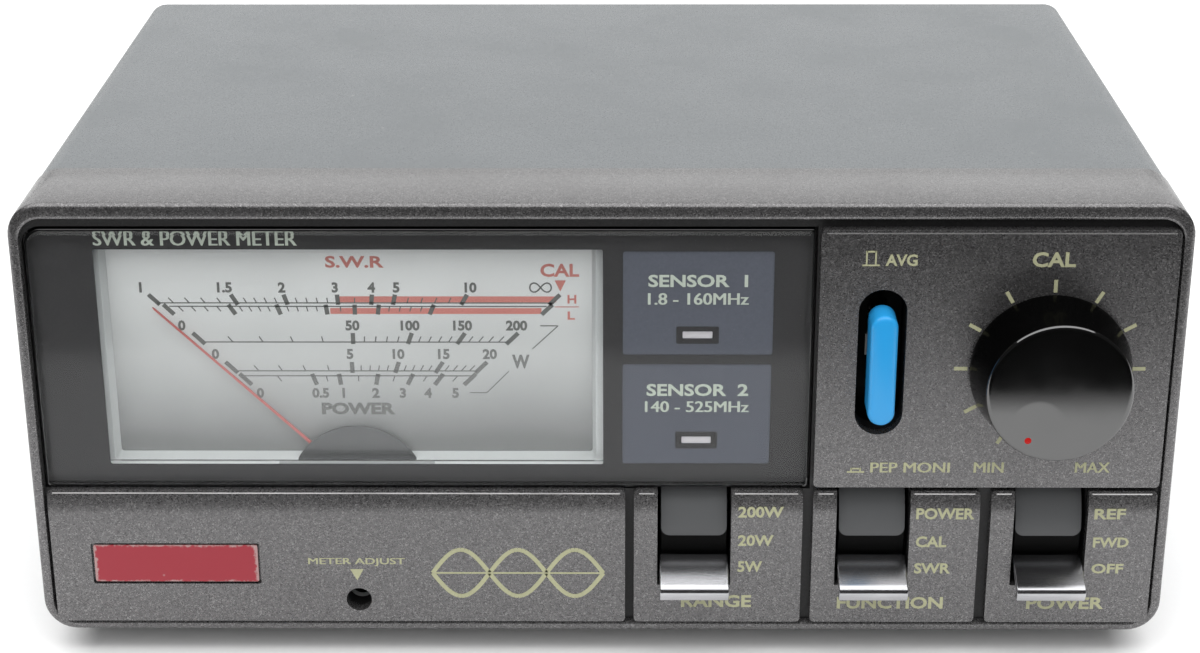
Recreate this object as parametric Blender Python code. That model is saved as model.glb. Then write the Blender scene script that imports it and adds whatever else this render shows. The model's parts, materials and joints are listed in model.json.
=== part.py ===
"""A two-sensor bench meter for standing wave ratio and power, built from separate pieces.

The frame: X runs to the right as seen from the front, Y runs from the front to the back and Z is up.
Sizes are in millimetres. The case frame starts at the middle of the case's lower front edge, and
the case_frame empty carries everything so that the origin is the bottom centre of the whole object.
"""

import math

import bmesh
import bpy
from mathutils import Matrix, Vector

MM = 0.001
GAP = 0.3

# Case.
CASE_WIDTH = 155.0
CASE_HEIGHT = 63.0
CASE_DEPTH = 103.0
BEZEL_DEPTH = 15.4
BEZEL_CORNER = 4.5
BEZEL_WALL = 2.2
FRONT_WALL = 4.0
GROOVE_FLOOR = 1.6
COVER_TOP = 62.2
COVER_HALF_WIDTH = 77.2
COVER_CORNER = 3.1
SHEET = 1.2
FOOT_HEIGHT = 4.0
FOOT_RADIUS = 6.5
FOOT_X = 60.0
FOOT_Y = (24.0, 92.0)

# Front panel.
RIM_HALF_WIDTH = 76.0
RIM_LOW = 1.4
RIM_HIGH = 60.9
PAD_LOW = 1.7
PAD_HIGH = 21.7
PAD_BEVEL = 0.4
LEFT_PAD = (-75.5, 3.3)
LEVER_PADS = ((4.5, 27.5), (28.9, 51.6), (53.1, 75.6))
CONTROL_PAD = (28.8, 75.6, 22.5, 59.6)
WINDOW = (-75.6, 28.15, 21.85, 59.3)
WINDOW_FRONT = 0.9
WINDOW_THICKNESS = 2.0
WINDOW_BEVEL = 0.7
LEDGE_FRONT = 3.2
METER_OPENING = (-69.6, 2.6, 23.4, 59.0)
BADGE = (-69.8, -47.2, 7.85, 13.5)
BADGE_DEPTH = 0.7
LAMP_X = 12.92
LAMP_HEIGHTS = (43.8, 28.35)
LAMP_HALF = (2.2, 0.8)

# Meter movement.
PIVOT_X = -33.5
PIVOT_Z = 20.0
NEEDLE_LENGTH = 37.6
NEEDLE_REST = math.radians(-45.5)
ADJUST_Z = 5.13
ADJUST_HOLE = 1.75
CRANK = 1.1
METER_INSIDE = (-69.0, 2.0, 24.0, 59.2)
METER_WALL = 1.2
METER_FRONT = FRONT_WALL + GAP
METER_BODY_BACK = 16.0
CAN_RADIUS = 15.4
CAN_BACK = 36.0

# Controls.
KNOB_X = 59.6
KNOB_Z = 40.1
KNOB_BASE_RADIUS = 10.7
KNOB_FACE_RADIUS = 9.6
KNOB_FRONT = -8.5
KNOB_REST = math.radians(-150.0)
SHAFT_RADIUS = 2.9
BUSH_RADIUS = 3.9
BUTTON_X = 37.17
BUTTON_Z = 40.9
BUTTON_WIDTH = 3.6
BUTTON_HEIGHT = 15.7
BUTTON_FRONT = -3.2
BUTTON_SLOT_WIDTH = 6.4
BUTTON_SLOT_HEIGHT = 20.9
BOARD_FRONT = 27.0
LEVERS = {"range": 12.74, "function": 37.13, "power": 61.3}
LEVER_Y = 11.0
LEVER_Z = 14.6
LEVER_REST = math.radians(22.4)
LEVER_SLOT = (10.06, 7.5, 22.1)
DRUM_RADIUS = 9.6
DRUM_WIDTH = 9.2
PADDLE_WIDTH = 9.4
PADDLE_REACH = 16.7

# Rear panel.
PANEL_FRONT = CASE_DEPTH - SHEET
SOCKET_Z = 36.0
SENSORS = {"sensor_1": (-58.0, -28.0), "sensor_2": (8.0, 38.0)}
FLANGE = 25.4
BARREL_RADIUS = 7.9
BARREL_BACK = 118.0
SOCKET_MOUTH = 5.9
JACK_X = 64.0
JACK_Z = 20.0
SELECTOR_X = 64.0
SELECTOR_Z = 45.0
SELECTOR_TRAVEL = 3.8

FINISHES = {
    "bezel_paint": ((0.045, 0.042, 0.045), 0.42, 0.35),
    "cover_paint": ((0.075, 0.08, 0.085), 0.3, 0.3),
    "zinc_sheet": ((0.55, 0.55, 0.53), 0.4, 0.9),
    "black_acrylic": ((0.01, 0.01, 0.012), 0.06, 0.0),
    "clear_plastic": ((0.8, 0.82, 0.82), 0.05, 0.0),
    "badge_red": ((0.42, 0.03, 0.06), 0.4, 0.1),
    "meter_white": ((0.7, 0.72, 0.72), 0.5, 0.0),
    "needle_red": ((0.6, 0.08, 0.06), 0.4, 0.0),
    "copper": ((0.7, 0.35, 0.18), 0.3, 1.0),
    "magnet_steel": ((0.2, 0.2, 0.21), 0.4, 0.9),
    "brass": ((0.72, 0.55, 0.25), 0.3, 1.0),
    "knob_black": ((0.006, 0.006, 0.006), 0.08, 0.0),
    "button_blue": ((0.03, 0.32, 0.85), 0.3, 0.0),
    "black_plastic": ((0.015, 0.015, 0.016), 0.3, 0.0),
    "chrome": ((0.75, 0.75, 0.76), 0.14, 1.0),
    "nickel": ((0.66, 0.65, 0.62), 0.22, 1.0),
    "board_green": ((0.05, 0.2, 0.1), 0.45, 0.0),
    "insulator_cream": ((0.75, 0.7, 0.58), 0.5, 0.0),
    "lamp_lens": ((0.75, 0.72, 0.7), 0.25, 0.0),
    "rubber": ((0.02, 0.02, 0.02), 0.8, 0.0),
    "screw_black": ((0.03, 0.03, 0.03), 0.35, 0.8),
}


def clear_scene():
    for old in list(bpy.data.objects):
        bpy.data.objects.remove(old, do_unlink=True)


def make_finish(name):
    """Returns the named material, made once."""
    found = bpy.data.materials.get(name)
    if found:
        return found
    colour, roughness, metallic = FINISHES[name]
    material = bpy.data.materials.new(name)
    material.use_nodes = True
    shader = material.node_tree.nodes["Principled BSDF"]
    shader.inputs["Base Color"].default_value = (*colour, 1.0)
    shader.inputs["Roughness"].default_value = roughness
    shader.inputs["Metallic"].default_value = metallic
    return material


# --- Shapes ------------------------------------------------------------------------------------


def spot(axis, a, b, along):
    """A point in metres: along the axis, with a and b on the other two axes in X, Y, Z order."""
    places = {"X": (along, a, b), "Y": (a, along, b), "Z": (a, b, along)}
    return Vector(places[axis]) * MM


def add_loft(bm, axis, rings):
    """A closed solid through rings of equal point count; a ring is (place along the axis, outline)."""
    loops = [[bm.verts.new(spot(axis, a, b, along)) for a, b in outline] for along, outline in rings]
    for lower, upper in zip(loops, loops[1:]):
        for i, vertex in enumerate(lower):
            j = (i + 1) % len(lower)
            bm.faces.new((vertex, lower[j], upper[j], upper[i]))
    bm.faces.new(loops[0])
    bm.faces.new(loops[-1])


def add_prism(bm, axis, outline, start, end):
    add_loft(bm, axis, [(start, outline), (end, outline)])


def add_box(bm, x, y, z):
    """A box between the two values of each axis."""
    add_prism(bm, "Z", [(x[0], y[0]), (x[1], y[0]), (x[1], y[1]), (x[0], y[1])], z[0], z[1])


def add_turned(bm, axis, centre, profile, segments, closed=False):
    """A turned solid: profile holds (radius, place along the axis), and radius 0 is a pole."""
    rings = []
    for radius, along in profile:
        if radius == 0:
            rings.append([bm.verts.new(spot(axis, centre[0], centre[1], along))])
            continue
        rings.append([
            bm.verts.new(spot(axis, centre[0] + a, centre[1] + b, along))
            for a, b in circle(0, 0, radius, segments)
        ])
    pairs = list(zip(rings, rings[1:]))
    if closed:
        pairs.append((rings[-1], rings[0]))
    for lower, upper in pairs:
        for i in range(segments):
            j = (i + 1) % segments
            corners = [lower[i % len(lower)], lower[j % len(lower)], upper[j % len(upper)], upper[i % len(upper)]]
            bm.faces.new(list(dict.fromkeys(corners)))


def circle(a, b, radius, segments):
    turns = (2 * math.pi * i / segments for i in range(segments))
    return [(a + radius * math.cos(t), b + radius * math.sin(t)) for t in turns]


def arc(a, b, radius, start, end, segments):
    """Points of an arc in degrees, both ends included."""
    turns = (math.radians(start + (end - start) * i / segments) for i in range(segments + 1))
    return [(a + radius * math.cos(t), b + radius * math.sin(t)) for t in turns]


def rounded(left, right, low, high, radius, segments=4):
    """A rectangle with round corners; radius is one number or four, from lower left round."""
    radii = radius if isinstance(radius, tuple) else (radius,) * 4
    corners = ((left, low, 1, 1, 180), (right, low, -1, 1, 270), (right, high, -1, -1, 0), (left, high, 1, -1, 90))
    points = []
    for (a, b, inward_a, inward_b, start), r in zip(corners, radii):
        points += arc(a + inward_a * r, b + inward_b * r, r, start, start + 90, segments)
    return points


def ring_profile(inner, outer, start, end):
    return [(inner, start), (outer, start), (outer, end), (inner, end)]


# --- Objects -----------------------------------------------------------------------------------


def new_object(name, bm, finish=None, location=(0, 0, 0), turn=(0, 0, 0)):
    """Turns a bmesh into an object on the case frame. Without a finish it is a tool for a Boolean."""
    bmesh.ops.recalc_face_normals(bm, faces=bm.faces)
    mesh = bpy.data.meshes.new(name)
    bm.to_mesh(mesh)
    bm.free()
    mesh.shade_smooth()
    mesh.set_sharp_from_angle(angle=math.radians(35))
    obj = bpy.data.objects.new(name, mesh)
    bpy.context.scene.collection.objects.link(obj)
    obj.parent = bpy.data.objects["case_frame"]
    obj.location = Vector(location) * MM
    obj.rotation_euler = turn
    if finish:
        mesh.materials.append(make_finish(finish))
    else:
        obj.hide_render = True
        obj.display_type = "WIRE"
    return obj


def combine(target, tool, operation):
    modifier = target.modifiers.new(f"{operation.lower()} {tool.name}", "BOOLEAN")
    modifier.operation = operation
    modifier.object = tool
    modifier.solver = "EXACT"


def cut(target, name, *shapes):
    """Takes the shapes, which don't meet each other, out of the target."""
    bm = bmesh.new()
    for add, *values in shapes:
        add(bm, *values)
    tool = new_object(f"cut_{name}", bm, None, target.location / MM, target.rotation_euler)
    combine(target, tool, "DIFFERENCE")


def join(target, name, *shapes):
    """Adds the shapes, which don't meet each other, to the target."""
    bm = bmesh.new()
    for add, *values in shapes:
        add(bm, *values)
    tool = new_object(f"join_{name}", bm, None, target.location / MM, target.rotation_euler)
    combine(target, tool, "UNION")


def made_of(name, finish, shape, location=(0, 0, 0), turn=(0, 0, 0)):
    """An object from one shape, given as its function and the values it takes."""
    bm = bmesh.new()
    shape[0](bm, *shape[1:])
    return new_object(name, bm, finish, location, turn)


# --- Casing ------------------------------------------------------------------------------------


def bevelled(box, front, back, bevel, radius=0.6):
    """Rings of a plate whose front edge is bevelled all round."""
    left, right, low, high = box
    face = rounded(left + bevel, right - bevel, low + bevel, high - bevel, max(radius - bevel, 0.1), 2)
    side = rounded(left, right, low, high, radius, 2)
    return [(front, face), (front + bevel, side), (back, side)]


def lever_slots():
    width, low, high = LEVER_SLOT
    return [
        (add_box, (x - width / 2, x + width / 2), (-1, FRONT_WALL + 1), (low, high)) for x in LEVERS.values()
    ]


def make_bezel():
    half = CASE_WIDTH / 2
    face = rounded(-half + 0.5, half - 0.5, 0.5, CASE_HEIGHT - 0.5, BEZEL_CORNER - 0.5, 5)
    side = rounded(-half, half, 0, CASE_HEIGHT, BEZEL_CORNER, 5)
    bezel = made_of("front_bezel", "bezel_paint", (add_loft, "Y", [(0, face), (0.5, side), (BEZEL_DEPTH, side)]))
    inside = rounded(-half + BEZEL_WALL, half - BEZEL_WALL, BEZEL_WALL, CASE_HEIGHT - BEZEL_WALL, 2.5)
    cut(bezel, "bezel_inside", (add_prism, "Y", inside, FRONT_WALL, BEZEL_DEPTH + 1))
    field = rounded(-RIM_HALF_WIDTH, RIM_HALF_WIDTH, RIM_LOW, RIM_HIGH, 3.0)
    cut(bezel, "bezel_field", (add_prism, "Y", field, -1, GROOVE_FLOOR))
    pads = [(*span, PAD_LOW, PAD_HIGH) for span in (LEFT_PAD, *LEVER_PADS)]
    pads.append(CONTROL_PAD)
    join(bezel, "bezel_pads", *[(add_loft, "Y", bevelled(pad, 0, 2.5, PAD_BEVEL)) for pad in pads])
    left, right, low, high = WINDOW
    pocket = rounded(left - GAP, right + GAP, low - GAP, high + GAP, (0.5, 0.5, 0.5, 2.5))
    cut(bezel, "window_pocket", (add_prism, "Y", pocket, -1, LEDGE_FRONT))
    lamps = [
        (add_box, (LAMP_X - 3.5, LAMP_X + 3.5), (-1, FRONT_WALL + 1), (z - 2, z + 2)) for z in LAMP_HEIGHTS
    ]
    left, right, low, high = METER_OPENING
    opening = (add_box, (left, right), (-1, FRONT_WALL + 1), (low, high))
    cut(bezel, "window_openings", opening, *lamps)
    slot = rounded(
        BUTTON_X - BUTTON_SLOT_WIDTH / 2,
        BUTTON_X + BUTTON_SLOT_WIDTH / 2,
        BUTTON_Z - BUTTON_SLOT_HEIGHT / 2,
        BUTTON_Z + BUTTON_SLOT_HEIGHT / 2,
        BUTTON_SLOT_WIDTH / 2 - 0.01,
        6,
    )
    through = (-1, FRONT_WALL + 1)
    left, right, low, high = BADGE
    cut(
        bezel,
        "panel_holes",
        (add_prism, "Y", slot, *through),
        (add_prism, "Y", circle(KNOB_X, KNOB_Z, BUSH_RADIUS + GAP, 20), *through),
        (add_prism, "Y", circle(PIVOT_X, ADJUST_Z, ADJUST_HOLE, 20), *through),
        (add_box, (left - GAP, right + GAP), (-1, BADGE_DEPTH), (low - GAP, high + GAP)),
        *lever_slots(),
    )


def make_window():
    left, right, low, high = WINDOW
    back = WINDOW_FRONT + WINDOW_THICKNESS
    face = rounded(
        left + WINDOW_BEVEL, right - WINDOW_BEVEL, low + WINDOW_BEVEL, high - WINDOW_BEVEL, (0.3, 0.3, 0.3, 1.6)
    )
    side = rounded(left, right, low, high, (0.3, 0.3, 0.3, 2.3))
    rings = [(WINDOW_FRONT, face), (WINDOW_FRONT + WINDOW_BEVEL, side), (back, side)]
    made_of("display_window", "black_acrylic", (add_loft, "Y", rings))


def make_badge():
    left, right, low, high = BADGE
    made_of("badge_plate", "badge_red", (add_box, (left, right), (0, BADGE_DEPTH - GAP), (low, high)))


def cover_outline():
    """The cover's inverted U, from the outer foot on the left over the top and back inside."""
    low = 1.0
    inner = COVER_HALF_WIDTH - SHEET
    r = COVER_CORNER
    outer_left = arc(-COVER_HALF_WIDTH + r, COVER_TOP - r, r, 180, 90, 5)
    outer_right = arc(COVER_HALF_WIDTH - r, COVER_TOP - r, r, 90, 0, 5)
    inner_right = arc(COVER_HALF_WIDTH - r, COVER_TOP - r, r - SHEET, 0, 90, 5)
    inner_left = arc(-COVER_HALF_WIDTH + r, COVER_TOP - r, r - SHEET, 90, 180, 5)
    feet_left = [(-inner, low), (-COVER_HALF_WIDTH, low)]
    feet_right = [(COVER_HALF_WIDTH, low), (inner, low)]
    return feet_left + outer_left + outer_right + feet_right + inner_right + inner_left


SCREW_HEIGHT = 8.0
SCREW_HEAD = 3.2
SCREW_SHANK = 1.4


def make_cover():
    cover = made_of(
        "top_cover", "cover_paint", (add_prism, "Y", cover_outline(), BEZEL_DEPTH + GAP, CASE_DEPTH)
    )
    holes = []
    for side in (-1, 1):
        profile = [
            (0, side * (COVER_HALF_WIDTH + 1)),
            (SCREW_HEAD + 1.3, side * (COVER_HALF_WIDTH + 1)),
            (SCREW_SHANK + 0.5, side * (COVER_HALF_WIDTH - 1.6)),
            (0, side * (COVER_HALF_WIDTH - 1.6)),
        ]
        holes += [(add_turned, "X", (y, SCREW_HEIGHT), profile, 16) for y in FOOT_Y]
    cut(cover, "cover_holes", *holes)
    for side, word in ((-1, "left"), (1, "right")):
        for y, end in zip(FOOT_Y, ("front", "rear")):
            profile = [
                (0, side * (COVER_HALF_WIDTH + 0.2)),
                (SCREW_HEAD, side * (COVER_HALF_WIDTH + 0.2)),
                (SCREW_SHANK, side * (COVER_HALF_WIDTH - 1.4)),
                (SCREW_SHANK, side * (COVER_HALF_WIDTH - 7)),
                (0, side * (COVER_HALF_WIDTH - 7)),
            ]
            screw = (add_turned, "X", (0, 0), profile, 16)
            made_of(f"cover_screw_{word}_{end}", "screw_black", screw, (0, y, SCREW_HEIGHT))


def make_chassis():
    half = COVER_HALF_WIDTH - SHEET - GAP
    low = 0.8
    top = COVER_TOP - SHEET - GAP
    front = BEZEL_DEPTH + GAP
    floor = (add_box, (-half, half), (front, PANEL_FRONT + 0.5), (low, low + SHEET))
    chassis = made_of("chassis", "zinc_sheet", floor)
    panel = rounded(-half, half, low, top, (0.2, 0.2, COVER_CORNER - SHEET, COVER_CORNER - SHEET))
    join(chassis, "rear_panel", (add_prism, "Y", panel, PANEL_FRONT, CASE_DEPTH))
    lip = BEZEL_WALL + GAP
    tab = [(6.0, lip), (front + 1.0, lip), (front + 1.0, low + 0.5), (front + 2.2, low + 0.5)]
    tab += [(front + 2.2, lip + SHEET), (6.0, lip + SHEET)]
    flanges = [
        (add_box, sorted((side * half, side * (half - SHEET))), (front + 4, PANEL_FRONT + 0.5), (low + 0.5, 14))
        for side in (-1, 1)
    ]
    tabs = [(add_prism, "X", tab, a, b) for a, b in ((-68.0, -52.0), (24.0, 31.0), (44.0, 55.0))]
    join(chassis, "chassis_flanges", *flanges, *tabs)
    through = (PANEL_FRONT - 1, CASE_DEPTH + 1)
    holes = [
        (add_prism, "Y", circle(x, SOCKET_Z, 7.6, 20), *through) for pair in SENSORS.values() for x in pair
    ]
    holes.append((add_prism, "Y", circle(JACK_X, JACK_Z, 4.3, 16), *through))
    holes.append((add_box, (SELECTOR_X - 2.3, SELECTOR_X + 2.3), through, (SELECTOR_Z - 5, SELECTOR_Z + 5)))
    for y in FOOT_Y:
        span = (side * (half - 3) for side in (-1, 1))
        for x in span:
            bore = (min(x - 5, x + 5), max(x - 5, x + 5))
            holes.append((add_prism, "X", circle(y, SCREW_HEIGHT, SCREW_SHANK + GAP, 12), *bore))
    cut(chassis, "chassis_holes", *holes)


def make_feet():
    for side, word in ((-1, "left"), (1, "right")):
        for y, end in zip(FOOT_Y, ("front", "rear")):
            profile = [(0, 0.5), (FOOT_RADIUS, 0.5), (FOOT_RADIUS, -3), (FOOT_RADIUS - 1, -FOOT_HEIGHT), (0, -FOOT_HEIGHT)]
            foot = (add_turned, "Z", (0, 0), profile, 20)
            made_of(f"rubber_foot_{word}_{end}", "rubber", foot, (side * FOOT_X, y, 0))


# --- Meter movement ----------------------------------------------------------------------------


def make_meter_case():
    left, right, low, high = METER_INSIDE
    wall = METER_WALL
    box = (add_box, (left - wall, right + wall), (METER_FRONT, METER_BODY_BACK), (low - 2.4, high + wall))
    case = made_of("meter_case", "meter_white", box)
    foot = (add_box, (PIVOT_X - 13, PIVOT_X + 13), (METER_FRONT, METER_BODY_BACK), (2.5, low))
    join(case, "meter_foot", foot)
    can = (add_prism, "Y", circle(PIVOT_X, PIVOT_Z, CAN_RADIUS, 28), METER_BODY_BACK - 1, CAN_BACK)
    join(case, "meter_can", can)
    floor = 9.0
    cut(case, "dial_room", (add_box, (left, right), (METER_FRONT - 1, floor), (low, high)))
    hub_room = (add_prism, "Y", circle(PIVOT_X, PIVOT_Z, 11.5, 24), METER_FRONT - 1, floor)
    cut(case, "hub_room", hub_room)
    coil_room = (add_prism, "Y", circle(PIVOT_X, PIVOT_Z, 13.6, 28), floor - 1, CAN_BACK - 1.5)
    cut(case, "coil_room", coil_room)
    fork_room = (add_box, (PIVOT_X - 4.7, PIVOT_X + 4.7), (11.4, 14.9), (3.5, 12.0))
    cut(case, "fork_room", fork_room)
    bore = (add_prism, "Y", circle(PIVOT_X, ADJUST_Z, 1.9, 16), METER_FRONT - 1, 12.0)
    cut(case, "adjust_bore", bore)


def make_dial():
    left, right, low, high = METER_INSIDE
    pane = (add_box, (left + GAP, right - GAP), (4.6, 5.4), (low + GAP, high - GAP))
    made_of("meter_cover", "clear_plastic", pane)
    plate = (add_box, (left + 0.6, right - 0.6), (7.6, 8.0), (low + 1.0, high - 0.6))
    made_of("scale_plate", "meter_white", plate)
    outline = arc(PIVOT_X, PIVOT_Z, 9.2, 0, 180, 14)
    outline += [(PIVOT_X - 9.2, 13.5), (PIVOT_X - 6.5, 11.2), (PIVOT_X + 6.5, 11.2), (PIVOT_X + 9.2, 13.5)]
    hub = made_of("hub_cover", "black_plastic", (add_prism, "Y", outline, 5.7, 6.1))
    join(hub, "hub_foot", (add_box, (PIVOT_X - 5, PIVOT_X + 5), (5.8, 8.6), (11.2, 12.4)))


def make_needle():
    hub = arc(0, 0, 1.7, 76, -76, 8)
    outline = [(-0.22, NEEDLE_LENGTH), (0.22, NEEDLE_LENGTH), *hub]
    outline += [(0.6, -5.5), (-0.6, -5.5)]
    outline += [(-a, b) for a, b in reversed(hub)]
    needle = (add_prism, "Y", outline, -0.15, 0.15)
    made_of("needle", "needle_red", needle, (PIVOT_X, 6.65, PIVOT_Z), (0, NEEDLE_REST, 0))


def make_coil():
    """The wound frame and its spindle, which turn as one with the needle."""
    start = 7.1
    frame = (add_box, (-6.6, 6.6), (13.0 - start, 27.0 - start), (-0.9, 0.9))
    coil = made_of("moving_coil", "copper", frame, (PIVOT_X, start, PIVOT_Z), (0, NEEDLE_REST, 0))
    cut(coil, "coil_hole", (add_box, (-5.5, 5.5), (14.1 - start, 25.9 - start), (-2, 2)))
    front = (add_prism, "Y", circle(0, 0, 0.5, 10), 0, 13.5 - start)
    rear = (add_prism, "Y", circle(0, 0, 0.5, 10), 26.5 - start, 33.0 - start)
    join(coil, "coil_spindle", front, rear)


def make_magnet():
    ring = (add_turned, "Y", (PIVOT_X, PIVOT_Z), ring_profile(8.3, 13.3, 15.0, 25.0), 28, True)
    made_of("yoke_ring", "magnet_steel", ring)
    core = made_of("core_magnet", "magnet_steel", (add_prism, "Y", circle(PIVOT_X, PIVOT_Z, 4.9, 20), 15.0, 25.0))
    webs = (add_box, (PIVOT_X - 1.5, PIVOT_X + 1.5), (15.5, 24.5), (PIVOT_Z - 8.0, PIVOT_Z + 8.0))
    join(core, "core_webs", webs)
    outline = [(-11.7, 9.3), (11.7, 9.3), (11.7, 14.7), (10.4, 14.7), (10.4, 10.4), (-10.4, 10.4)]
    outline += [(-10.4, 14.7), (-11.7, 14.7)]
    outline = [(PIVOT_X + a, b) for a, b in outline]
    bridge = made_of("pivot_bridge", "brass", (add_prism, "Z", outline, PIVOT_Z - 1.6, PIVOT_Z + 1.6))
    cut(bridge, "bridge_bearing", (add_prism, "Y", circle(PIVOT_X, PIVOT_Z, 0.85, 12), 8, 12))


def make_hairspring():
    turns = 2.5
    steps = 36
    half_width = 0.15

    def side(offset):
        return [
            (
                PIVOT_X + (1.3 + 3.2 * i / steps + offset) * math.cos(2 * math.pi * turns * i / steps),
                PIVOT_Z + (1.3 + 3.2 * i / steps + offset) * math.sin(2 * math.pi * turns * i / steps),
            )
            for i in range(steps + 1)
        ]

    outline = side(half_width) + list(reversed(side(-half_width)))
    made_of("hairspring", "brass", (add_prism, "Y", outline, 10.9, 11.4))


def make_zero_adjuster():
    """The slotted screw and the fork lever that its crank pin moves."""
    location = (PIVOT_X, 4.6, ADJUST_Z)
    profile = [(0, 0), (1.5, 0), (1.5, 1.6), (0.9, 1.6), (0.9, 6.2), (1.6, 6.2), (1.6, 7.0), (0, 7.0)]
    screw = made_of("zero_adjust_screw", "nickel", (add_turned, "Y", (0, 0), profile, 16), location)
    join(screw, "crank_pin", (add_prism, "Y", circle(0, CRANK, 0.4, 10), 6.6, 8.6))
    cut(screw, "driver_slot", (add_box, (-2, 2), (-1, 0.8), (-0.25, 0.25)))
    drop = PIVOT_Z - ADJUST_Z
    outline = arc(0, 0, 2.6, -60, 240, 14)
    outline += [(-1.3, -8.0), (-2.3, -9.5), (-2.3, -drop - 0.6), (-0.75, -drop - 0.6), (-0.75, -10.8)]
    outline += [(0.75, -10.8), (0.75, -drop - 0.6), (2.3, -drop - 0.6), (2.3, -9.5), (1.3, -8.0)]
    plate = (add_prism, "Y", outline, -0.3, 0.3)
    lever = made_of("zero_lever", "brass", plate, (PIVOT_X, 12.3, PIVOT_Z))
    cut(lever, "lever_eye", (add_prism, "Y", circle(0, 0, 0.85, 12), -1, 1))


# --- Controls ----------------------------------------------------------------------------------


def make_lamps():
    for number, z in enumerate(LAMP_HEIGHTS, start=1):
        across, up = LAMP_HALF
        lens = (add_box, (LAMP_X - across, LAMP_X + across), (3.2, BOARD_FRONT - GAP), (z - up, z + up))
        made_of(f"sensor_lamp_{number}", "lamp_lens", lens)


def make_knob():
    location = (KNOB_X, 0, KNOB_Z)
    back = -0.6
    room = 7.8
    profile = [
        (0, KNOB_FRONT),
        (KNOB_FACE_RADIUS - 0.3, KNOB_FRONT),
        (KNOB_FACE_RADIUS, KNOB_FRONT + 0.3),
        (KNOB_BASE_RADIUS, -1.4),
        (KNOB_BASE_RADIUS, back),
        (room, back),
        (room, -3.7),
        (SHAFT_RADIUS + GAP, -3.7),
        (SHAFT_RADIUS + GAP, -7.3),
        (0, -7.3),
    ]
    turn = (0, KNOB_REST, 0)
    knob = made_of("cal_knob", "knob_black", (add_turned, "Y", (0, 0), profile, 40), location, turn)
    ball = 12.0
    depth = 0.45
    heights = [math.radians(-90 + 20 * i / 5) for i in range(6)]
    dimple = [(ball * math.cos(t), KNOB_FRONT + depth - ball - ball * math.sin(t)) for t in heights]
    dimple = [(0, KNOB_FRONT + depth), *dimple[1:], (0, dimple[-1][1])]
    cut(knob, "finger_dimple", (add_turned, "Y", (0, 6.0), dimple, 24))
    shaft = (add_prism, "Y", circle(0, 0, SHAFT_RADIUS, 20), -7.0, 12.0)
    made_of("pot_shaft", "nickel", shaft, location, turn)
    body = [
        (SHAFT_RADIUS + GAP, -3.4),
        (BUSH_RADIUS, -3.4),
        (BUSH_RADIUS, FRONT_WALL + GAP),
        (8.2, FRONT_WALL + GAP),
        (8.2, 15.0),
        (0, 15.0),
        (0, 12.4),
        (SHAFT_RADIUS + GAP, 12.4),
    ]
    outer = (add_turned, "Y", (0, 0), [(0, -3.4), *body[1:6]], 24)
    pot = made_of("pot_body", "zinc_sheet", outer, location)
    cut(pot, "pot_bore", (add_prism, "Y", circle(0, 0, SHAFT_RADIUS + GAP, 20), -5, 12.4))
    nut = made_of("pot_nut", "nickel", (add_prism, "Y", circle(0, 0, 6.4, 6), -2.5, -0.3), location)
    cut(nut, "nut_bore", (add_prism, "Y", circle(0, 0, BUSH_RADIUS + GAP, 20), -4, 1))


def make_push_switch():
    half_w = BUTTON_WIDTH / 2
    half_h = BUTTON_HEIGHT / 2
    side = rounded(-half_w, half_w, -half_h, half_h, half_w - 0.01, 5)
    face = rounded(-half_w + 0.35, half_w - 0.35, -half_h + 0.35, half_h - 0.35, half_w - 0.36, 5)
    location = (BUTTON_X, BUTTON_FRONT, BUTTON_Z)
    cap_length = 9.2
    cap = (add_loft, "Y", [(0, face), (0.45, side), (cap_length, side)])
    made_of("push_button", "button_blue", cap, location)
    stem = 1.5
    stem_box = (add_box, (-stem, stem), (cap_length + GAP, 20.0), (-stem, stem))
    made_of("push_plunger", "meter_white", stem_box, location)
    body = (add_box, (BUTTON_X - 3.5, BUTTON_X + 3.5), (14.0, BOARD_FRONT - GAP), (BUTTON_Z - 7, BUTTON_Z + 7))
    switch = made_of("push_switch_body", "black_plastic", body)
    wide = stem + GAP
    bore = (add_box, (BUTTON_X - wide, BUTTON_X + wide), (13.0, 21.0), (BUTTON_Z - wide, BUTTON_Z + wide))
    cut(switch, "switch_bore", bore)
    make_push_spring()


def make_push_spring():
    """The return spring round the plunger, as a wire helix."""
    turns = 3
    per_turn = 12
    radius = 2.9
    first = 9.1
    last = 13.3
    curve = bpy.data.curves.new("push_spring", "CURVE")
    curve.dimensions = "3D"
    curve.bevel_depth = 0.28 * MM
    curve.bevel_resolution = 0
    curve.use_fill_caps = True
    spline = curve.splines.new("POLY")
    count = turns * per_turn
    spline.points.add(count)
    for i, point in enumerate(spline.points):
        turn = 2 * math.pi * i / per_turn
        place = spot("Y", radius * math.cos(turn), radius * math.sin(turn), first + (last - first) * i / count)
        point.co = (*place, 1)
    curve.materials.append(make_finish("nickel"))
    spring = bpy.data.objects.new("push_spring", curve)
    bpy.context.scene.collection.objects.link(spring)
    spring.parent = bpy.data.objects["case_frame"]
    spring.location = Vector((BUTTON_X, 0, BUTTON_Z)) * MM


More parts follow.
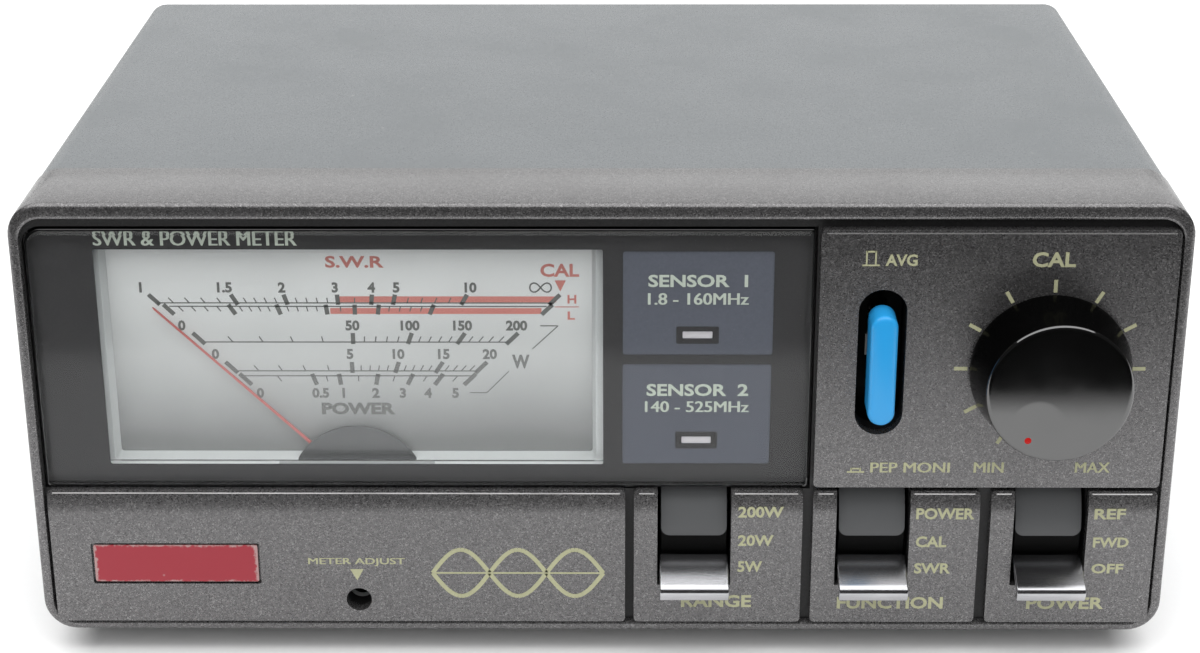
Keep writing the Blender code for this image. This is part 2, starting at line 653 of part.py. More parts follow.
def make_lever_switch(word, x):
    """A three-position lever switch: bracket, drum with its stub, and the bright paddle on the stub."""
    location = (x, LEVER_Y, LEVER_Z)
    turn = (LEVER_REST, 0, 0)
    half = DRUM_WIDTH / 2
    sector = arc(0, 0, DRUM_RADIUS, 105, 255, 16)
    sector += arc(0, 0, 2.4, -60, 60, 4)
    drum = made_of(f"{word}_lever", "black_plastic", (add_prism, "X", sector, -half, half), location, turn)
    axle = (add_prism, "X", circle(0, 0, 1.2, 12), -half - 1.3, half + 1.3)
    join(drum, f"{word}_axle", axle)
    join(drum, f"{word}_stub", (add_box, (-3.0, 3.0), (-PADDLE_REACH + 1.4, -7.5), (-1.35, -0.45)))
    paddle_outline = [
        (-9.95, 0.8),
        (-PADDLE_REACH + 0.5, 0.8),
        (-PADDLE_REACH + 0.12, 0.6),
        (-PADDLE_REACH, 0.25),
        (-PADDLE_REACH, -1.15),
        (-PADDLE_REACH + 1.0, -1.15),
        (-PADDLE_REACH + 1.0, -0.1),
        (-9.95, -0.1),
    ]
    wide = PADDLE_WIDTH / 2
    paddle = (add_prism, "X", paddle_outline, -wide, wide)
    made_of(f"{word}_paddle", "chrome", paddle, location, turn)
    inner = half + 0.6
    outer = inner + 0.9
    low = LEVER_Z - 8.6
    high = LEVER_Z + 9.2
    outline = [(-outer, 4.5), (-inner, 4.5), (-inner, 20.0), (inner, 20.0), (inner, 4.5), (outer, 4.5)]
    outline += [(outer, BOARD_FRONT - GAP), (-outer, BOARD_FRONT - GAP)]
    outline = [(x + a, b) for a, b in outline]
    bracket = made_of(f"{word}_switch_body", "zinc_sheet", (add_prism, "Z", outline, low, high))
    bore = (add_prism, "X", circle(LEVER_Y, LEVER_Z, 1.5, 12), x - outer - 1, x + outer + 1)
    cut(bracket, f"{word}_bearing", bore)


# --- Electronics and rear panel ----------------------------------------------------------------


def make_board():
    made_of("main_board", "board_green", (add_box, (4.0, 74.0), (BOARD_FRONT, BOARD_FRONT + 1.6), (4.5, 58.0)))


def make_sensor(name, pair):
    """A screened coupler box with its through line and the two coax sockets."""
    left = pair[0] - 14.0
    right = pair[1] + 14.0
    back = PANEL_FRONT - GAP
    front = 66.0
    low = SOCKET_Z - 14.0
    high = SOCKET_Z + 14.0
    box = made_of(f"{name}_box", "zinc_sheet", (add_box, (left, right), (front, back), (low, high)))
    cut(box, f"{name}_room", (add_box, (left + 1, right - 1), (front - 1, back - 1), (low + 1, high - 1)))
    holes = [(add_prism, "Y", circle(x, SOCKET_Z, 7.6, 20), back - 2, back + 1) for x in pair]
    cut(box, f"{name}_holes", *holes)
    line_front = 82.0
    bar = (add_box, (pair[0] - 2.5, pair[1] + 2.5), (line_front, line_front + 4), (SOCKET_Z - 2, SOCKET_Z + 2))
    line = made_of(f"{name}_line", "brass", bar)
    contact = 2.8
    pins = [(add_prism, "Y", circle(x, SOCKET_Z, contact, 16), line_front + 3, 113.0) for x in pair]
    join(line, f"{name}_contacts", *pins)
    cups = [(add_prism, "Y", circle(x, SOCKET_Z, 2.1, 16), 102.0, 114.0) for x in pair]
    cut(line, f"{name}_cups", *cups)
    for x, word in zip(pair, ("tx", "ant")):
        make_socket(f"{name}_{word}", x, contact)


def make_socket(name, x, contact):
    start = 97.0
    flange_front = CASE_DEPTH + GAP
    half = FLANGE / 2
    centre = (x, SOCKET_Z)
    square = rounded(x - half, x + half, SOCKET_Z - half, SOCKET_Z + half, 1.5, 2)
    flange = (add_prism, "Y", square, flange_front, flange_front + 1.6)
    shell = made_of(f"{name}_socket", "nickel", flange)
    join(shell, f"{name}_barrel", (add_prism, "Y", circle(*centre, BARREL_RADIUS, 28), flange_front + 1, BARREL_BACK))
    join(shell, f"{name}_hub", (add_prism, "Y", circle(*centre, 7.2, 24), start, flange_front + 1))
    bore = contact + 2.1
    cut(shell, f"{name}_bore", (add_prism, "Y", circle(*centre, bore, 20), start - 1, 112.0))
    cut(shell, f"{name}_mouth", (add_prism, "Y", circle(*centre, SOCKET_MOUTH, 24), 111.0, BARREL_BACK + 1))
    profile = ring_profile(contact + GAP, bore - GAP, start + 0.5, 110.7)
    made_of(f"{name}_insulator", "insulator_cream", (add_turned, "Y", centre, profile, 20, True))


def make_rear_controls():
    jack = [
        (4.0, 92.0),
        (4.0, CASE_DEPTH + GAP),
        (5.6, CASE_DEPTH + GAP),
        (5.6, CASE_DEPTH + 1.7),
        (2.75, CASE_DEPTH + 1.7),
        (2.75, 95.0),
        (1.0, 95.0),
        (1.0, CASE_DEPTH + 0.8),
        (0, CASE_DEPTH + 0.8),
    ]
    made_of("dc_jack", "black_plastic", (add_turned, "Y", (JACK_X, JACK_Z), [(0, 92.0), *jack], 20))
    body = (add_box, (SELECTOR_X - 4.5, SELECTOR_X + 4.5), (92.0, PANEL_FRONT - GAP), (SELECTOR_Z - 9, SELECTOR_Z + 9))
    switch = made_of("selector_body", "zinc_sheet", body)
    room = (add_box, (SELECTOR_X - 2.2, SELECTOR_X + 2.2), (96.0, CASE_DEPTH), (SELECTOR_Z - 4.9, SELECTOR_Z + 4.9))
    cut(switch, "selector_room", room)
    slider = (add_box, (-1.8, 1.8), (0, 8.8), (-2.6, 2.6))
    place = (SELECTOR_X, 96.4, SELECTOR_Z + SELECTOR_TRAVEL / 2)
    made_of("selector_slider", "black_plastic", slider, place)


def make_case_frame():
    """The empty that puts the whole object's bottom centre on the origin."""
    empty = bpy.data.objects.new("case_frame", None)
    bpy.context.scene.collection.objects.link(empty)
    middle = (KNOB_FRONT + BARREL_BACK) / 2
    empty.location = Vector((0, -middle, FOOT_HEIGHT)) * MM


def main():
    clear_scene()
    make_case_frame()
    make_bezel()
    make_window()
    make_badge()
    make_cover()
    make_chassis()
    make_feet()
    make_meter_case()
    make_dial()
    make_needle()
    make_coil()
    make_magnet()
    make_hairspring()
    make_zero_adjuster()
    make_lamps()
    make_knob()
    make_push_switch()
    for word, x in LEVERS.items():
        make_lever_switch(word, x)
    make_board()
    for name, pair in SENSORS.items():
        make_sensor(name, pair)
    make_rear_controls()
    bpy.context.view_layer.update()


main()
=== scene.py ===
"""Looks of a two-sensor SWR and power meter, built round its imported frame.

Lengths are millimetres in the case's own frame, whose start is the middle of the front's lower
edge: X to the right, Y to the back, Z up. Solid.publish turns them into metres in the frame's place.
"""

import json
import logging
import math
from dataclasses import dataclass
from enum import Enum
from typing import Callable, Iterable, Optional, Sequence

import bmesh
import bpy
from mathutils import Matrix, Vector


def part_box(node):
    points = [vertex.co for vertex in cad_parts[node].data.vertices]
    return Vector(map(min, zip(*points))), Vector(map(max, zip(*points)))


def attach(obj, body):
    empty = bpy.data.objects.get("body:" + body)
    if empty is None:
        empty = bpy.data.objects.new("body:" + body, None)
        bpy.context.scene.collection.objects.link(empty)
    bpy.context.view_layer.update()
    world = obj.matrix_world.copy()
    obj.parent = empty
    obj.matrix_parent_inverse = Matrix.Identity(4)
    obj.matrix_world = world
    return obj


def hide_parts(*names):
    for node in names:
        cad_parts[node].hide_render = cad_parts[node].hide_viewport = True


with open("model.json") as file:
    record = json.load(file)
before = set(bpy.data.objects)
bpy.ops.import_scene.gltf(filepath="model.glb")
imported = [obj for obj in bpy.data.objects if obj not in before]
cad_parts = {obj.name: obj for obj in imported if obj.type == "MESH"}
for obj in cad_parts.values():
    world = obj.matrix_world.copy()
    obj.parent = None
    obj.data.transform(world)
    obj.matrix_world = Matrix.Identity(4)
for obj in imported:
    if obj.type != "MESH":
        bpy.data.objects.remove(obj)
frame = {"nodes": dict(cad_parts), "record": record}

log = logging.getLogger("swr_meter")

MM = 0.001
SHARP_FROM = 34.0
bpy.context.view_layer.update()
FRONT_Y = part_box("front_bezel")[0].y
BASE_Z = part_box("front_bezel")[0].z

Point = tuple[float, float]
Outline = list[Point]
Ring = tuple[float, Outline]
Colour = tuple[float, float, float]


class Axis(Enum):
    """The axis that an outline is pushed along."""

    X = "X"
    Y = "Y"
    Z = "Z"

    def spot(self, a: float, b: float, along: float) -> Vector:
        """A point with a and b on the other two axes, in X, Y, Z order."""
        places = {"X": (along, a, b), "Y": (a, along, b), "Z": (a, b, along)}
        return Vector(places[self.value])


class Facing(Enum):
    """The way that a print looks."""

    FRONT = "front"
    REAR = "rear"

    def matrix(self) -> Matrix:
        """Turns a flat print in X and Y, read from +Z, to stand up and look this way."""
        if self is Facing.FRONT:
            return Matrix(((1, 0, 0), (0, 0, -1), (0, 1, 0))).to_4x4()
        return Matrix(((-1, 0, 0), (0, 0, 1), (0, 1, 0))).to_4x4()


@dataclass(frozen=True)
class Span:
    """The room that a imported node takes, in case millimetres."""

    left: float
    right: float
    front: float
    back: float
    low: float
    high: float

    @classmethod
    def of(cls, node: str) -> "Span":
        """Reads the node's box from the frame."""
        low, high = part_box(node)
        return cls(
            low.x / MM,
            high.x / MM,
            (low.y - FRONT_Y) / MM,
            (high.y - FRONT_Y) / MM,
            (low.z - BASE_Z) / MM,
            (high.z - BASE_Z) / MM,
        )

    @property
    def centre(self) -> Vector:
        """The middle of the box."""
        return Vector((self.left + self.right, self.front + self.back, self.low + self.high)) / 2


def arc(a: float, b: float, radius: float, start: float, end: float, segments: int) -> Outline:
    """Points of an arc.

    Args:
        a: First place of its centre.
        b: Second place of its centre.
        radius: Its radius.
        start: Angle of its first point, in degrees.
        end: Angle of its last point, in degrees.
        segments: How many straight steps it takes.

    Returns:
        The points, both ends included.
    """
    turns = (math.radians(start + (end - start) * i / segments) for i in range(segments + 1))
    return [(a + radius * math.cos(t), b + radius * math.sin(t)) for t in turns]


def circle(a: float, b: float, radius: float, segments: int) -> Outline:
    """The points of a whole circle round (a, b)."""
    return arc(a, b, radius, 0, 360, segments)[:-1]


def rounded(
    left: float, right: float, low: float, high: float, radius: float | Sequence[float], segments: int = 6
) -> Outline:
    """A rectangle with round corners.

    Args:
        left: Its left side.
        right: Its right side.
        low: Its lower side.
        high: Its upper side.
        radius: One corner radius, or four from the lower left round.
        segments: Steps in each corner.

    Returns:
        The points, anticlockwise.
    """
    radii = [radius] * 4 if isinstance(radius, (int, float)) else list(radius)
    corners = (
        (left, low, 1, 1, 180),
        (right, low, -1, 1, 270),
        (right, high, -1, -1, 0),
        (left, high, 1, -1, 90),
    )
    points: Outline = []
    for (a, b, in_a, in_b, start), r in zip(corners, radii):
        points += arc(a + in_a * r, b + in_b * r, r, start, start + 90, segments)
    return points


class Solid:
    """A mesh under construction, in case millimetres, made of one or more closed shapes."""

    def __init__(self) -> None:
        """Starts an empty mesh."""
        self.bm = bmesh.new()

    def loft(self, axis: Axis, rings: Sequence[Ring], closed: bool = False) -> "Solid":
        """Adds a skin through rings of equal point count.

        Args:
            axis: The axis that the rings stand along.
            rings: Each ring's place along the axis and its outline.
            closed: True to join the last ring to the first, as in a frame, and False to cap both ends.

        Returns:
            This solid.
        """
        loops = [[self.bm.verts.new(axis.spot(a, b, along)) for a, b in ring] for along, ring in rings]
        self.skin([*loops, loops[0]] if closed else loops)
        if not closed:
            self.cap(loops[0], loops[-1])
        return self

    def skin(self, loops: Sequence[Sequence[bmesh.types.BMVert]]) -> None:
        """Adds the faces between each loop of points and the next."""
        for lower, upper in zip(loops, loops[1:]):
            for i, vertex in enumerate(lower):
                j = (i + 1) % len(lower)
                self.bm.faces.new((vertex, lower[j], upper[j], upper[i]))

    def cap(self, *loops: Sequence[bmesh.types.BMVert]) -> None:
        """Closes each loop of points with one face."""
        for loop in loops:
            self.bm.faces.new(loop)

    def absorb(self, other: "Solid") -> None:
        """Adds another solid's shapes to this one and uses the other up."""
        held = bpy.data.meshes.new("held")
        other.bm.to_mesh(held)
        self.bm.from_mesh(held)
        other.bm.free()
        bpy.data.meshes.remove(held)

    def prism(self, axis: Axis, outline: Outline, start: float, end: float) -> "Solid":
        """Adds an outline pushed along an axis from start to end."""
        return self.loft(axis, [(start, outline), (end, outline)])

    def box(self, x: Point, y: Point, z: Point) -> "Solid":
        """Adds a box between the two values of each axis."""
        base = [(x[0], y[0]), (x[1], y[0]), (x[1], y[1]), (x[0], y[1])]
        return self.prism(Axis.Z, base, z[0], z[1])

    def turned(
        self, axis: Axis, centre: Point, profile: Sequence[Point], segments: int, closed: bool = False
    ) -> "Solid":
        """Adds a turned shape.

        Args:
            axis: The axis that it is turned about.
            centre: Where the axis stands.
            profile: Pairs of radius and place along the axis; radius 0 is a pole.
            segments: Steps round the axis.
            closed: True if the profile's last point joins its first, as in a tube.

        Returns:
            This solid.
        """
        rings = []
        for radius, along in profile:
            if radius == 0:
                rings.append([self.bm.verts.new(axis.spot(centre[0], centre[1], along))])
                continue
            points = circle(centre[0], centre[1], radius, segments)
            rings.append([self.bm.verts.new(axis.spot(a, b, along)) for a, b in points])
        pairs = list(zip(rings, rings[1:]))
        if closed:
            pairs.append((rings[-1], rings[0]))
        for lower, upper in pairs:
            for i in range(segments):
                j = (i + 1) % segments
                spots = ((lower, i), (lower, j), (upper, j), (upper, i))
                corners = [ring[k % len(ring)] for ring, k in spots]
                self.bm.faces.new(list(dict.fromkeys(corners)))
        return self

    def plate(self, outline: Outline, holes: Iterable[Outline], front: float, back: float) -> "Solid":
        """Adds an upright plate with holes right through it.

        Args:
            outline: Its outer edge, in X and Z.
            holes: The edges of its holes.
            front: Its front face's Y.
            back: Its back face's Y.

        Returns:
            This solid.
        """
        edges = []
        for loop in (outline, *holes):
            made = [self.bm.verts.new((a, front, b)) for a, b in loop]
            edges += [self.bm.edges.new((v, made[(i + 1) % len(made)])) for i, v in enumerate(made)]
        filled = bmesh.ops.triangle_fill(self.bm, use_beauty=True, edges=edges, normal=(0, -1, 0))
        faces = [f for f in filled["geom"] if isinstance(f, bmesh.types.BMFace)]
        pushed = bmesh.ops.extrude_face_region(self.bm, geom=faces, use_keep_orig=True)
        moved = [v for v in pushed["geom"] if isinstance(v, bmesh.types.BMVert)]
        bmesh.ops.translate(self.bm, verts=moved, vec=(0, back - front, 0))
        return self

    def crowned(self, top: float, reach: float, drop: float) -> "Solid":
        """Lets the front face fall back towards its upper edge.

        Args:
            top: The upper edge's Z.
            reach: How far below the edge the fall starts.
            drop: How far the edge falls back.

        Returns:
            This solid.
        """
        steps = 7
        for i in range(steps):
            parts = self.bm.verts[:] + self.bm.edges[:] + self.bm.faces[:]
            level = Vector((0, 0, top - reach * (steps - i) / steps))
            bmesh.ops.bisect_plane(self.bm, geom=parts, dist=1e-5, plane_co=level, plane_no=(0, 0, 1))
        for vertex in self.bm.verts:
            share = (vertex.co.z - top + reach) / reach
            if share > 0 and vertex.co.y < 0.5:
                vertex.co.y += drop * share**1.5
        return self

    def bar(self, start: Point, end: Point, width: float, front: float, thick: float) -> "Solid":
        """Adds a flat upright stroke from start to end, in X and Z.

        Args:
            start: Its first end.
            end: Its other end.
            width: Its width.
            front: Its front face's Y.
            thick: Its thickness.

        Returns:
            This solid.
        """
        run = Vector(end) - Vector(start)
        side = Vector((-run.y, run.x)).normalized() * width / 2
        corners = [Vector(start) + side, Vector(start) - side, Vector(end) - side, Vector(end) + side]
        return self.prism(Axis.Y, [(c.x, c.y) for c in corners], front, front + thick)

    def moved(self, matrix: Matrix) -> "Solid":
        """Moves everything made so far by the matrix."""
        bmesh.ops.transform(self.bm, matrix=matrix, verts=self.bm.verts)
        return self

    def publish(
        self,
        name: str,
        finish: "Finish",
        body: str = "root",
        slot: Optional[str] = None,
        stands_for: Sequence[str] = (),
        edge: float = 0.0,
    ) -> bpy.types.Object:
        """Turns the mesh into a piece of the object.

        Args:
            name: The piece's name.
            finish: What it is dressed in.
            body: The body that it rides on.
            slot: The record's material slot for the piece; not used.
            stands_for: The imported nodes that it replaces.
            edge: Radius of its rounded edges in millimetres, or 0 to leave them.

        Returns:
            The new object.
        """
        bmesh.ops.recalc_face_normals(self.bm, faces=self.bm.faces)
        place = Matrix.Translation((0, FRONT_Y, BASE_Z)) @ Matrix.Scale(MM, 4)
        mesh = bpy.data.meshes.new(name)
        self.moved(place).bm.to_mesh(mesh)
        self.bm.free()
        mesh.shade_smooth()
        mesh.set_sharp_from_angle(angle=math.radians(SHARP_FROM))
        mesh.materials.clear()
        mesh.materials.append(finish.material())
        obj = bpy.data.objects.new(name, mesh)
        bpy.context.scene.collection.objects.link(obj)
        if edge:
            rounding = obj.modifiers.new("rounded edges", "BEVEL")
            rounding.width = edge * MM
            rounding.segments = 3
            rounding.limit_method = "ANGLE"
            rounding.angle_limit = math.radians(SHARP_FROM)
            rounding.harden_normals = True
        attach(obj, body)
        if stands_for:
            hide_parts(*stands_for)
        log.info("%s on %s, %d faces", name, body, len(mesh.polygons))
        return obj


# --- Finishes ----------------------------------------------------------------------------------


class Nodes:
    """A short way to build a node tree of any kind."""

    def __init__(self, tree: bpy.types.NodeTree) -> None:
        """Keeps the tree that the nodes go into."""
        self.tree = tree

    def add(self, kind: str, inputs: Optional[dict] = None, **settings: object) -> bpy.types.Node:
        """Adds a node.

        Args:
            kind: Its type's name.
            inputs: Values or sockets for its inputs, by name or number.
            **settings: Its own settings.

        Returns:
            The new node.
        """
        node = self.tree.nodes.new(kind)
        for key, value in settings.items():
            setattr(node, key, value)
        for key, value in (inputs or {}).items():
            socket = node.inputs[key]
            if isinstance(value, bpy.types.NodeSocket):
                self.tree.links.new(value, socket)
            else:
                socket.default_value = value
        return node

    def link(self, start: bpy.types.NodeSocket, end: bpy.types.NodeSocket) -> None:
        """Joins an output to an input."""
        self.tree.links.new(start, end)

    def place(self) -> bpy.types.NodeSocket:
        """The place on the object, in its own metres."""
        return self.add("ShaderNodeTexCoord").outputs["Object"]

    def noise(self, place: bpy.types.NodeSocket, scale: object, detail: float) -> bpy.types.NodeSocket:
        """Adds a soft noise and returns its height."""
        inputs = {"Vector": place, "Scale": scale, "Detail": detail}
        return self.add("ShaderNodeTexNoise", inputs).outputs[0]

    def camera_ray(self) -> bpy.types.NodeSocket:
        """One for what the camera sees straight and zero for what is lit or mirrored."""
        return self.add("ShaderNodeLightPath").outputs["Is Camera Ray"]

    def math(self, operation: str, a: object, b: object = 0.0) -> bpy.types.NodeSocket:
        """Adds a sum on one or two values and returns its result."""
        return self.add("ShaderNodeMath", {0: a, 1: b}, operation=operation).outputs[0]

    def mix(self, share: object, a: object, b: object, blend: str = "MIX") -> bpy.types.NodeSocket:
        """Adds a colour mix and returns its result."""
        node = self.add("ShaderNodeMix", {"Factor": share}, data_type="RGBA", blend_type=blend)
        for socket, value in ((node.inputs[6], a), (node.inputs[7], b)):
            if isinstance(value, bpy.types.NodeSocket):
                self.tree.links.new(value, socket)
            else:
                socket.default_value = value
        return node.outputs[2]

    def spread(
        self, value: object, low: float, high: float, to_low: float, to_high: float
    ) -> bpy.types.NodeSocket:
        """Adds a clamped change of range and returns its result."""
        inputs = {0: value, 1: low, 2: high, 3: to_low, 4: to_high}
        return self.add("ShaderNodeMapRange", inputs, clamp=True).outputs[0]


def opaque(colour: Colour) -> tuple[float, float, float, float]:
    """The colour with full cover."""
    return (*colour, 1.0)


def shared_group(
    name: str,
    inputs: Sequence[tuple[str, str, object]],
    outputs: Sequence[tuple[str, str]],
    fill: Callable[[Nodes, dict, dict], None],
) -> bpy.types.NodeTree:
    """Builds a shader group once and hands it out after that.

    Args:
        name: The group's name.
        inputs: Name, socket type and first value of each input.
        outputs: Name and socket type of each output.
        fill: Makes the nodes between the inputs' sockets and the outputs' sockets.

    Returns:
        The group.
    """
    found = bpy.data.node_groups.get(name)
    if found:
        return found
    tree = bpy.data.node_groups.new(name, "ShaderNodeTree")
    for label, kind, value in inputs:
        tree.interface.new_socket(label, in_out="INPUT", socket_type=kind).default_value = value
    for label, kind in outputs:
        tree.interface.new_socket(label, in_out="OUTPUT", socket_type=kind)
    nodes = Nodes(tree)
    start = nodes.add("NodeGroupInput")
    end = nodes.add("NodeGroupOutput")
    fill(nodes, {s.name: s for s in start.outputs if s.name}, {s.name: s for s in end.inputs if s.name})
    return tree


def flecks_group() -> bpy.types.NodeTree:
    """Metal flecks in a paint, with the paint's fine orange peel."""

    def fill(nodes: Nodes, start: dict, end: dict) -> None:
        """Lays bright cells over a mottled base."""
        place = nodes.place()
        fine = nodes.add("ShaderNodeTexVoronoi", {"Vector": place, "Scale": start["Scale"]})
        cell = nodes.add("ShaderNodeSeparateColor", {"Color": fine.outputs["Color"]}).outputs[0]
        bright = nodes.spread(cell, 0.8, 1.0, 0.0, 1.0)
        dark = nodes.spread(cell, 0.0, 0.3, 1.0, 0.0)
        wide_scale = nodes.math("MULTIPLY", start["Scale"], 0.23)
        cloud = nodes.noise(place, wide_scale, 3.0)
        mottle = nodes.spread(cloud, 0.35, 0.65, 0.0, 0.08)
        base = nodes.mix(mottle, start["Color"], start["Fleck Color"])
        lit = nodes.mix(nodes.math("MULTIPLY", bright, start["Amount"]), base, start["Fleck Color"])
        shaded = nodes.mix(nodes.math("MULTIPLY", dark, 0.4), lit, (0.0, 0.0, 0.0, 1.0))
        nodes.link(shaded, end["Color"])
        rough = nodes.math("ADD", start["Roughness"], nodes.spread(cell, 0.0, 1.0, -0.07, 0.07))
        nodes.link(rough, end["Roughness"])
        nodes.link(nodes.math("ADD", cell, cloud), end["Height"])

    return shared_group(
        "metal_flecks",
        (
            ("Color", "NodeSocketColor", (0.1, 0.1, 0.1, 1)),
            ("Fleck Color", "NodeSocketColor", (0.4, 0.4, 0.4, 1)),
            ("Scale", "NodeSocketFloat", 5000.0),
            ("Amount", "NodeSocketFloat", 0.5),
            ("Roughness", "NodeSocketFloat", 0.4),
        ),
        (("Color", "NodeSocketColor"), ("Roughness", "NodeSocketFloat"), ("Height", "NodeSocketFloat")),
        fill,
    )


def handling_group() -> bpy.types.NodeTree:
    """Faint smears and settled dust that every outer surface picks up."""

    def fill(nodes: Nodes, start: dict, end: dict) -> None:
        """Spreads wide smears for the roughness and rare specks for the colour."""
        place = nodes.place()
        inputs = {"Vector": place, "Scale": 55.0, "Detail": 5.0, "Roughness": 0.6}
        smears = nodes.add("ShaderNodeTexNoise", inputs).outputs[0]
        smear_mask = nodes.spread(smears, 0.42, 0.68, 0.0, 1.0)
        specks = nodes.add("ShaderNodeTexVoronoi", {"Vector": place, "Scale": start["Speck Scale"]})
        speck_mask = nodes.spread(specks.outputs["Distance"], 0.03, 0.07, 1.0, 0.0)
        pick = nodes.add("ShaderNodeSeparateColor", {"Color": specks.outputs["Color"]}).outputs[1]
        speck_mask = nodes.math("MULTIPLY", speck_mask, nodes.math("GREATER_THAN", pick, 0.8))
        dust = nodes.math("MULTIPLY", speck_mask, start["Dust"])
        tinted = nodes.mix(dust, start["Color"], (0.55, 0.54, 0.52, 1.0))
        nodes.link(tinted, end["Color"])
        rough = nodes.math("MULTIPLY", smear_mask, start["Smear"])
        rough = nodes.math("ADD", start["Roughness"], rough)
        rough = nodes.math("ADD", rough, nodes.math("MULTIPLY", dust, 0.4))
        nodes.link(rough, end["Roughness"])
        nodes.link(smears, end["Cloud"])

    return shared_group(
        "handling",
        (
            ("Color", "NodeSocketColor", (0.1, 0.1, 0.1, 1)),
            ("Roughness", "NodeSocketFloat", 0.3),
            ("Smear", "NodeSocketFloat", 0.05),
            ("Dust", "NodeSocketFloat", 0.5),
            ("Speck Scale", "NodeSocketFloat", 260.0),
        ),
        (("Color", "NodeSocketColor"), ("Roughness", "NodeSocketFloat"), ("Cloud", "NodeSocketFloat")),
        fill,
    )


def brushing_group() -> bpy.types.NodeTree:
    """Fine lines that rolling, brushing or plating leaves along X."""

    def fill(nodes: Nodes, start: dict, end: dict) -> None:
        """Stretches a noise along X and hands out its lines."""
        place = nodes.place()
        stretched = nodes.add("ShaderNodeMapping", {"Vector": place, "Scale": (0.03, 1.0, 1.0)}).outputs[0]
        lines = nodes.noise(stretched, start["Scale"], 4.0)
        mask = nodes.spread(lines, 0.3, 0.7, 0.0, 1.0)
        cloud = nodes.noise(place, 120.0, 3.0)
        patch = nodes.spread(cloud, 0.35, 0.65, 0.0, 1.0)
        darker = nodes.mix(1.0, start["Color"], (0.72, 0.72, 0.72, 1.0), "MULTIPLY")
        both = nodes.math("MULTIPLY", nodes.math("ADD", mask, patch), 0.5)
        nodes.link(nodes.mix(both, start["Color"], darker), end["Color"])
        rough = nodes.math("ADD", start["Roughness"], nodes.math("MULTIPLY", both, start["Depth"]))
        nodes.link(rough, end["Roughness"])
        nodes.link(mask, end["Height"])

    return shared_group(
        "brushing",
        (
            ("Color", "NodeSocketColor", (0.6, 0.6, 0.6, 1)),
            ("Scale", "NodeSocketFloat", 9000.0),
            ("Roughness", "NodeSocketFloat", 0.25),
            ("Depth", "NodeSocketFloat", 0.15),
        ),
        (("Color", "NodeSocketColor"), ("Roughness", "NodeSocketFloat"), ("Height", "NodeSocketFloat")),
        fill,
    )


@dataclass(frozen=True)
class Finish:
    """What a piece is dressed in; its material is made on first use."""

    name: str
    colour: Colour
    roughness: float = 0.4
    metallic: float = 0.0
    coat: float = 0.0
    relief: float = 0.02
    ior: float = 1.5

    def material(self) -> bpy.types.Material:
        """The finish's material, made once."""
        found = bpy.data.materials.get(self.name)
        if found:
            return found
        material = bpy.data.materials.new(self.name)
        material.use_nodes = True
        nodes = Nodes(material.node_tree)
        shader = material.node_tree.nodes["Principled BSDF"]
        shader.inputs["Metallic"].default_value = self.metallic
        shader.inputs["Coat Weight"].default_value = self.coat
        shader.inputs["IOR"].default_value = self.ior
        shader.inputs["Coat Roughness"].default_value = 0.05
        self.dress(nodes, shader)
        return material

    @staticmethod
    def group(nodes: Nodes, tree: bpy.types.NodeTree, inputs: dict) -> bpy.types.Node:
        """Places a shared group in the material with these values."""
        return nodes.add("ShaderNodeGroup", inputs, node_tree=tree)

    @staticmethod
    def emboss(nodes: Nodes, shader: bpy.types.Node, height: bpy.types.NodeSocket, depth: float) -> None:
        """Feeds a height to the shader's normal, depth in millimetres."""
        bump = nodes.add("ShaderNodeBump", {"Height": height, "Strength": 1.0, "Distance": depth * MM})
        nodes.link(bump.outputs[0], shader.inputs["Normal"])

    @staticmethod
    def colour_from(nodes: Nodes, source: bpy.types.Node, shader: bpy.types.Node) -> None:
        """Feeds a group's colour and roughness to the shader."""
        nodes.link(source.outputs["Color"], shader.inputs["Base Color"])
        nodes.link(source.outputs["Roughness"], shader.inputs["Roughness"])

    def dress(self, nodes: Nodes, shader: bpy.types.Node) -> None:
        """Dresses the shader as a plain moulded or coated surface with signs of handling."""
        marks = self.group(
            nodes, handling_group(), {"Color": opaque(self.colour), "Roughness": self.roughness, "Dust": 0.35}
        )
        self.colour_from(nodes, marks, shader)
        place = nodes.place()
        grain = nodes.noise(place, 2600.0, 2.0)
        if self.relief:
            self.emboss(nodes, shader, grain, self.relief)


@dataclass(frozen=True)
class FleckedPaint(Finish):
    """Charcoal paint with metal flecks."""

    fleck: Colour = (0.3, 0.3, 0.3)
    fleck_size: float = 0.2
    amount: float = 0.5

    def dress(self, nodes: Nodes, shader: bpy.types.Node) -> None:
        """Lays the flecks, then the signs of handling."""
        flecks = self.group(
            nodes,
            flecks_group(),
            {
                "Color": opaque(self.colour),
                "Fleck Color": opaque(self.fleck),
                "Scale": 1.0 / (self.fleck_size * MM),
                "Amount": self.amount,
                "Roughness": self.roughness,
            },
        )
        marks = self.group(
            nodes,
            handling_group(),
            {"Color": flecks.outputs["Color"], "Roughness": flecks.outputs["Roughness"], "Dust": 0.25},
        )
        self.colour_from(nodes, marks, shader)
        self.emboss(nodes, shader, flecks.outputs["Height"], self.relief)


@dataclass(frozen=True)
class Metal(Finish):
    """Bare, plated or rolled metal with fine lines."""

    metallic: float = 1.0
    line_scale: float = 7000.0
    depth: float = 0.12
    relief: float = 0.002

    def dress(self, nodes: Nodes, shader: bpy.types.Node) -> None:
        """Draws the lines in colour, roughness and height."""
        lines = self.group(
            nodes,
            brushing_group(),
            {
                "Color": opaque(self.colour),
                "Scale": self.line_scale,
                "Roughness": self.roughness,
                "Depth": self.depth,
            },
        )
        self.colour_from(nodes, lines, shader)
        self.emboss(nodes, shader, lines.outputs["Height"], self.relief)


